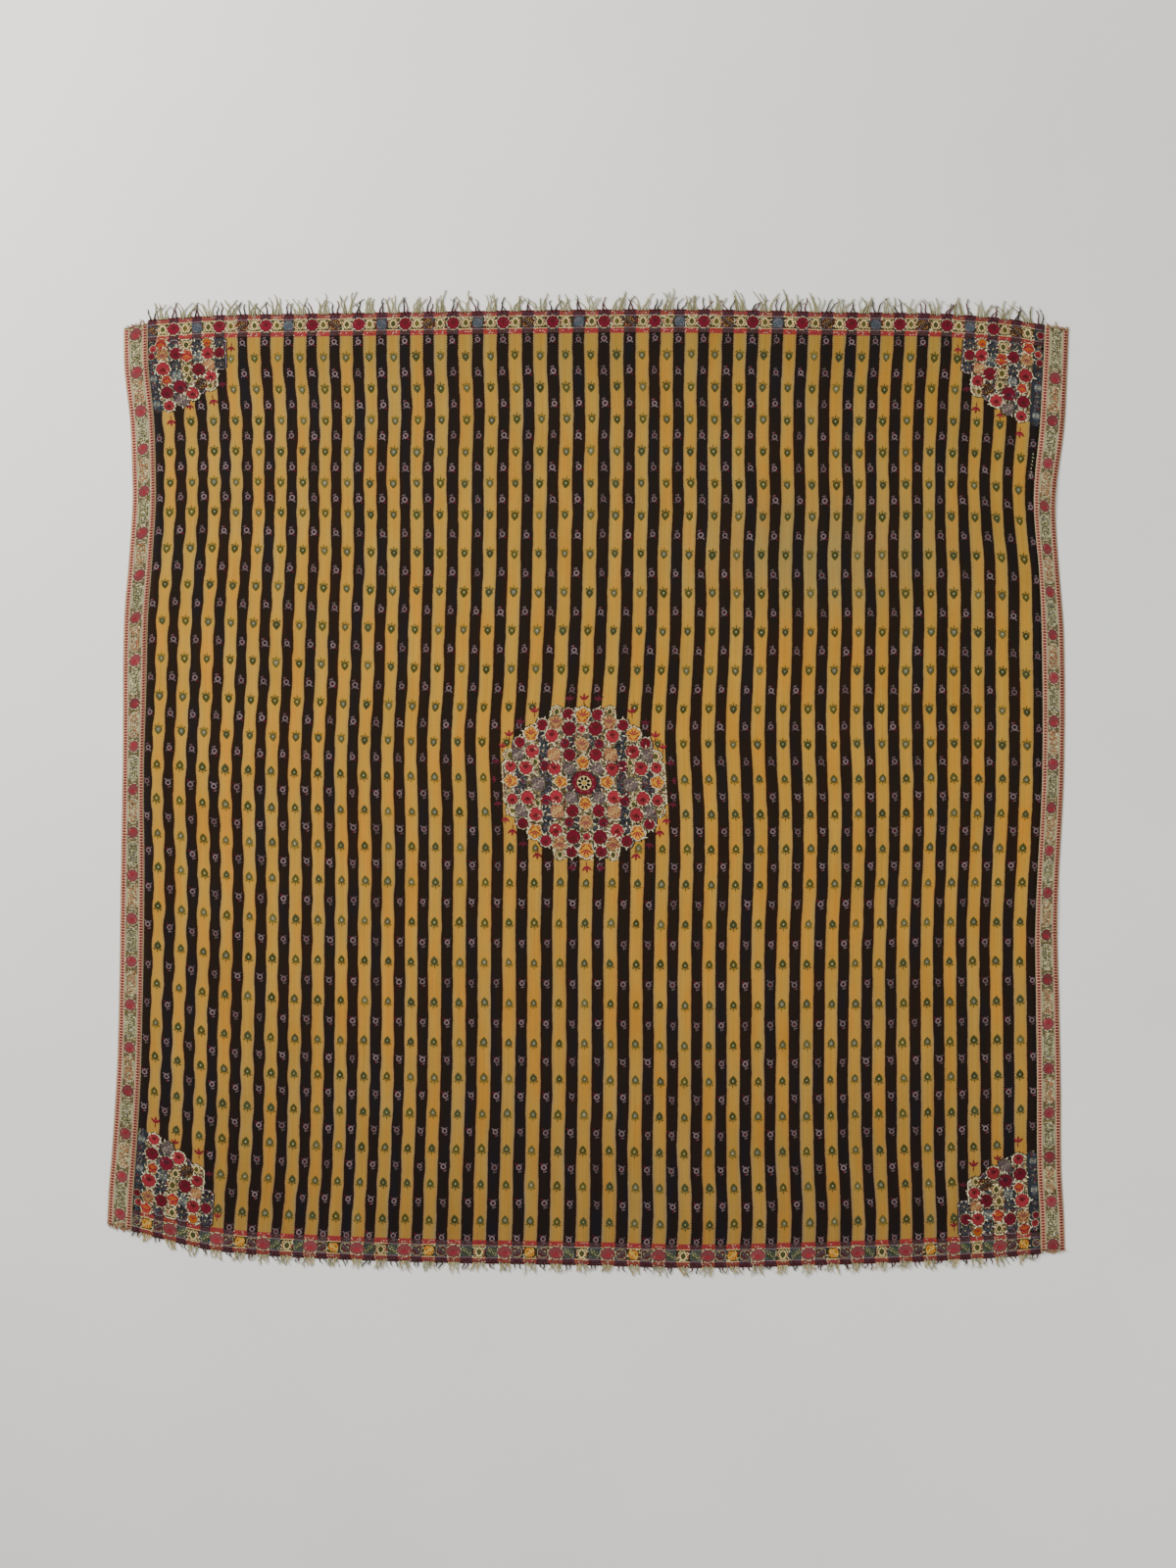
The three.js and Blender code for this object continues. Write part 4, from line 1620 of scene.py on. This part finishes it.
def makeSewing(border):
    chance = random.Random(50 + border["side"])
    bm = newPiece()
    for i in range(int(2 * (halfLength - sewing["inset"]) / sewing["pitch"])):
        along = -halfLength + sewing["inset"] + i * sewing["pitch"]
        turn = border["side"] * (0.9 + chance.uniform(-0.2, 0.2))
        place(bm, stitchMesh, border["side"] * seam, along, turn, shade=chance.uniform(0.7, 1.1))
    if border["side"] > 0:
        # a few pale stitches where the black stripe beside the seam was mended
        for i in range(7):
            along = sewing["mendStart"] + sewing["mendPitch"] * i
            place(bm, mendMesh, seam - 8.0 + chance.uniform(-1, 1), along, 1.2 if i % 2 else 0.2)
    name = "seamStitches" + border["name"]
    return finishMotifs(bm, name, yarnMaterial, [border["node"]])


seamStitches = [makeSewing(border) for border in sideBorders]
print("borders sewn on")

# Fringe

fringeLook = {
    "thick": 3.4,
    "steps": 7,
    "kinds": 14,  # how many different strands each set has
    "topLength": 31.0,
    "bottomLength": 17.0,
    "frayLength": 7.5,
    "frayStrands": 15,
    "frayPitch": 2.85,
    "frayStart": 2.5,  # from the seam
    "frayRoot": 1.5,
    "onYellow": 6,
    "onBlack": 2,
    "root": 2.0,  # how far the strands start inside the edge
    "drop": -0.55,  # how far their roots sink below the cloth's upper face
}


def strand(bm, dye, length, thick, bend, wave, phase):
    # a tapering yarn that bends and waves as it leaves the cloth
    dyeLayer = bm.faces.layers.int["dyeNumber"]
    bmesh.ops.create_cone(bm, cap_ends=True, segments=3, radius1=thick / 2, radius2=thick * 0.3, depth=length)
    lengthwise = [edge for edge in bm.edges if abs(edge.verts[0].co.z - edge.verts[1].co.z) > length / 2]
    bmesh.ops.subdivide_edges(bm, edges=lengthwise, cuts=fringeLook["steps"] - 1)
    for vert in bm.verts:
        part = vert.co.z / length + 0.5
        sway = bend * part**2 + wave * part * math.sin(phase + 7.5 * part)
        drop = thick * 0.5 - 0.75 * smooth(part * 2.2, 0, 1) * clothTop
        lift = 0.35 * part * math.sin(phase + 5 * part) ** 2
        vert.co = Vector((vert.co.x + sway, length * part, vert.co.y + drop + lift))
    for face in bm.faces:
        face[dyeLayer] = dyeNames.index(dye)


def strandSet(dyeChoices, length, seed):
    chance = random.Random(seed)
    made = []
    for i in range(fringeLook["kinds"]):
        bend = chance.uniform(-0.5, 0.5) * length
        wave = chance.uniform(0.5, 3.4)
        reach = length * chance.uniform(0.75, 1.2)
        phase = chance.uniform(0, 6.28)
        dye = dyeChoices[i % len(dyeChoices)]
        made.append(template(strand, dye, reach, fringeLook["thick"], bend, wave, phase))
    return made


def makeFringe(end, name, node, length, seed):
    chance = random.Random(seed)
    paleDyes = ["straw", "pale", "pale", "straw"] if end > 0 else ["pale", "cream", "straw"]
    pale = strandSet(paleDyes, length, seed + 1)
    dark = strandSet(["dusk", "maroon", "shadow"], length * 0.8, seed + 2)
    bm = newPiece()
    for half in range(2 * yellowStripes + 1):
        across = stripeAt(half / 2 - 0.5)
        count, reach, strands = (fringeLook["onBlack"], 7.0, dark)
        if half % 2:
            count, reach, strands = (fringeLook["onYellow"], 10.5, pale)
        lean = chance.uniform(-0.35, 0.35)  # strands of one stripe lean together
        for i in range(count):
            x = across + (i + 0.5 - count / 2) * 2 * reach / count + chance.uniform(-1, 1)
            if abs(x) > fieldEdge - 3:
                continue
            size = chance.uniform(0.75, 1.12)
            place(
                bm,
                chance.choice(strands),
                x,
                end * (halfLength - fringeLook["root"]),
                (0.0 if end > 0 else math.pi) + lean + chance.uniform(-0.25, 0.25),
                (chance.choice((-1, 1)), size),
                up=fringeLook["drop"] + chance.uniform(0, 0.25),
                shade=chance.uniform(0.75, 1.25),
            )
    return finishMotifs(bm, name, yarnMaterial, [node])


topFringe = makeFringe(1, "topStrands", "fringe_top", fringeLook["topLength"], 61)
bottomFringe = makeFringe(-1, "bottomStrands", "fringe_bottom", fringeLook["bottomLength"], 71)


def makeFray(border, end, word):
    chance = random.Random(80 + border["side"] * 2 + end)
    choices = strandSet(["salmon", "tan", "pale"], fringeLook["frayLength"], 81)
    bm = newPiece()
    start = end * (halfLength - border[word + "Slip"] - fringeLook["frayRoot"])
    for i in range(fringeLook["frayStrands"]):
        off = fringeLook["frayStart"] + i * fringeLook["frayPitch"]
        x = border["side"] * (seam + off) + chance.uniform(-0.6, 0.6)
        longer = 2.0 if end > 0 and chance.random() < 0.2 else 1.0
        place(
            bm,
            chance.choice(choices),
            x,
            start,
            (0.0 if end > 0 else math.pi) + chance.uniform(-0.5, 0.5),
            (1.0, chance.uniform(0.5, 1.0) * longer),
            up=fringeLook["drop"],
            shade=chance.uniform(0.8, 1.2),
        )
    node = "fray_" + word + "_" + border["name"].lower()
    return finishMotifs(bm, "fray" + word.title() + border["name"], yarnMaterial, [node])


for border in sideBorders:
    makeFray(border, 1, "top")
    makeFray(border, -1, "bottom")
print("fringe made")

# Floor, light and background

room = {
    # place in metres, size in metres, watts
    "windowLight": ((-2.9, 2.6, 2.6), 1.8, 337.0),
    "fillLight": ((3.2, -2.2, 3.4), 2.6, 112.0),
    "background": 0.55,
    "floorLow": (0.74, 0.72, 0.67),
    "floorHigh": (0.77, 0.75, 0.70),
}


def makeFloor():
    bm = bmesh.new()
    bmesh.ops.create_grid(bm, x_segments=1, y_segments=1, size=9.0)
    bmesh.ops.translate(bm, vec=(0.0, 0.0, -0.0002), verts=bm.verts[:])
    floor = bpy.data.objects.new("floor", toMesh(bm, "floor"))
    bpy.context.scene.collection.objects.link(floor)
    material = bpy.data.materials.new("paleFloor")
    material.use_nodes = True
    tree = material.node_tree
    surface = tree.nodes["Principled BSDF"]
    surface.inputs["Roughness"].default_value = 0.9
    spot = tree.nodes.new("ShaderNodeTexCoord")
    grain = noise(tree, spot.outputs["Object"], 3.0, 4.0)
    colour = ramp(tree, grain, [(0.3, room["floorLow"]), (0.7, room["floorHigh"])])
    tree.links.new(colour, surface.inputs["Base Color"])
    floor.data.materials.append(material)
    floor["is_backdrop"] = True


def makeLight(name, spot, size, power):
    data = bpy.data.lights.new(name, "AREA")
    data.shape = "SQUARE"
    data.size = size
    data.energy = power
    light = bpy.data.objects.new(name, data)
    light.location = spot
    light.rotation_euler = Vector(spot).to_track_quat("Z", "Y").to_euler()
    bpy.context.scene.collection.objects.link(light)


makeFloor()
makeLight("windowLight", *room["windowLight"])
makeLight("fillLight", *room["fillLight"])
world = bpy.data.worlds.new("paleRoom")
world.use_nodes = True
background = world.node_tree.nodes["Background"]
background.inputs["Color"].default_value = (0.95, 0.97, 1.0, 1.0)
background.inputs["Strength"].default_value = room["background"]
bpy.context.scene.world = world
print("stage lit")

low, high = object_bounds()
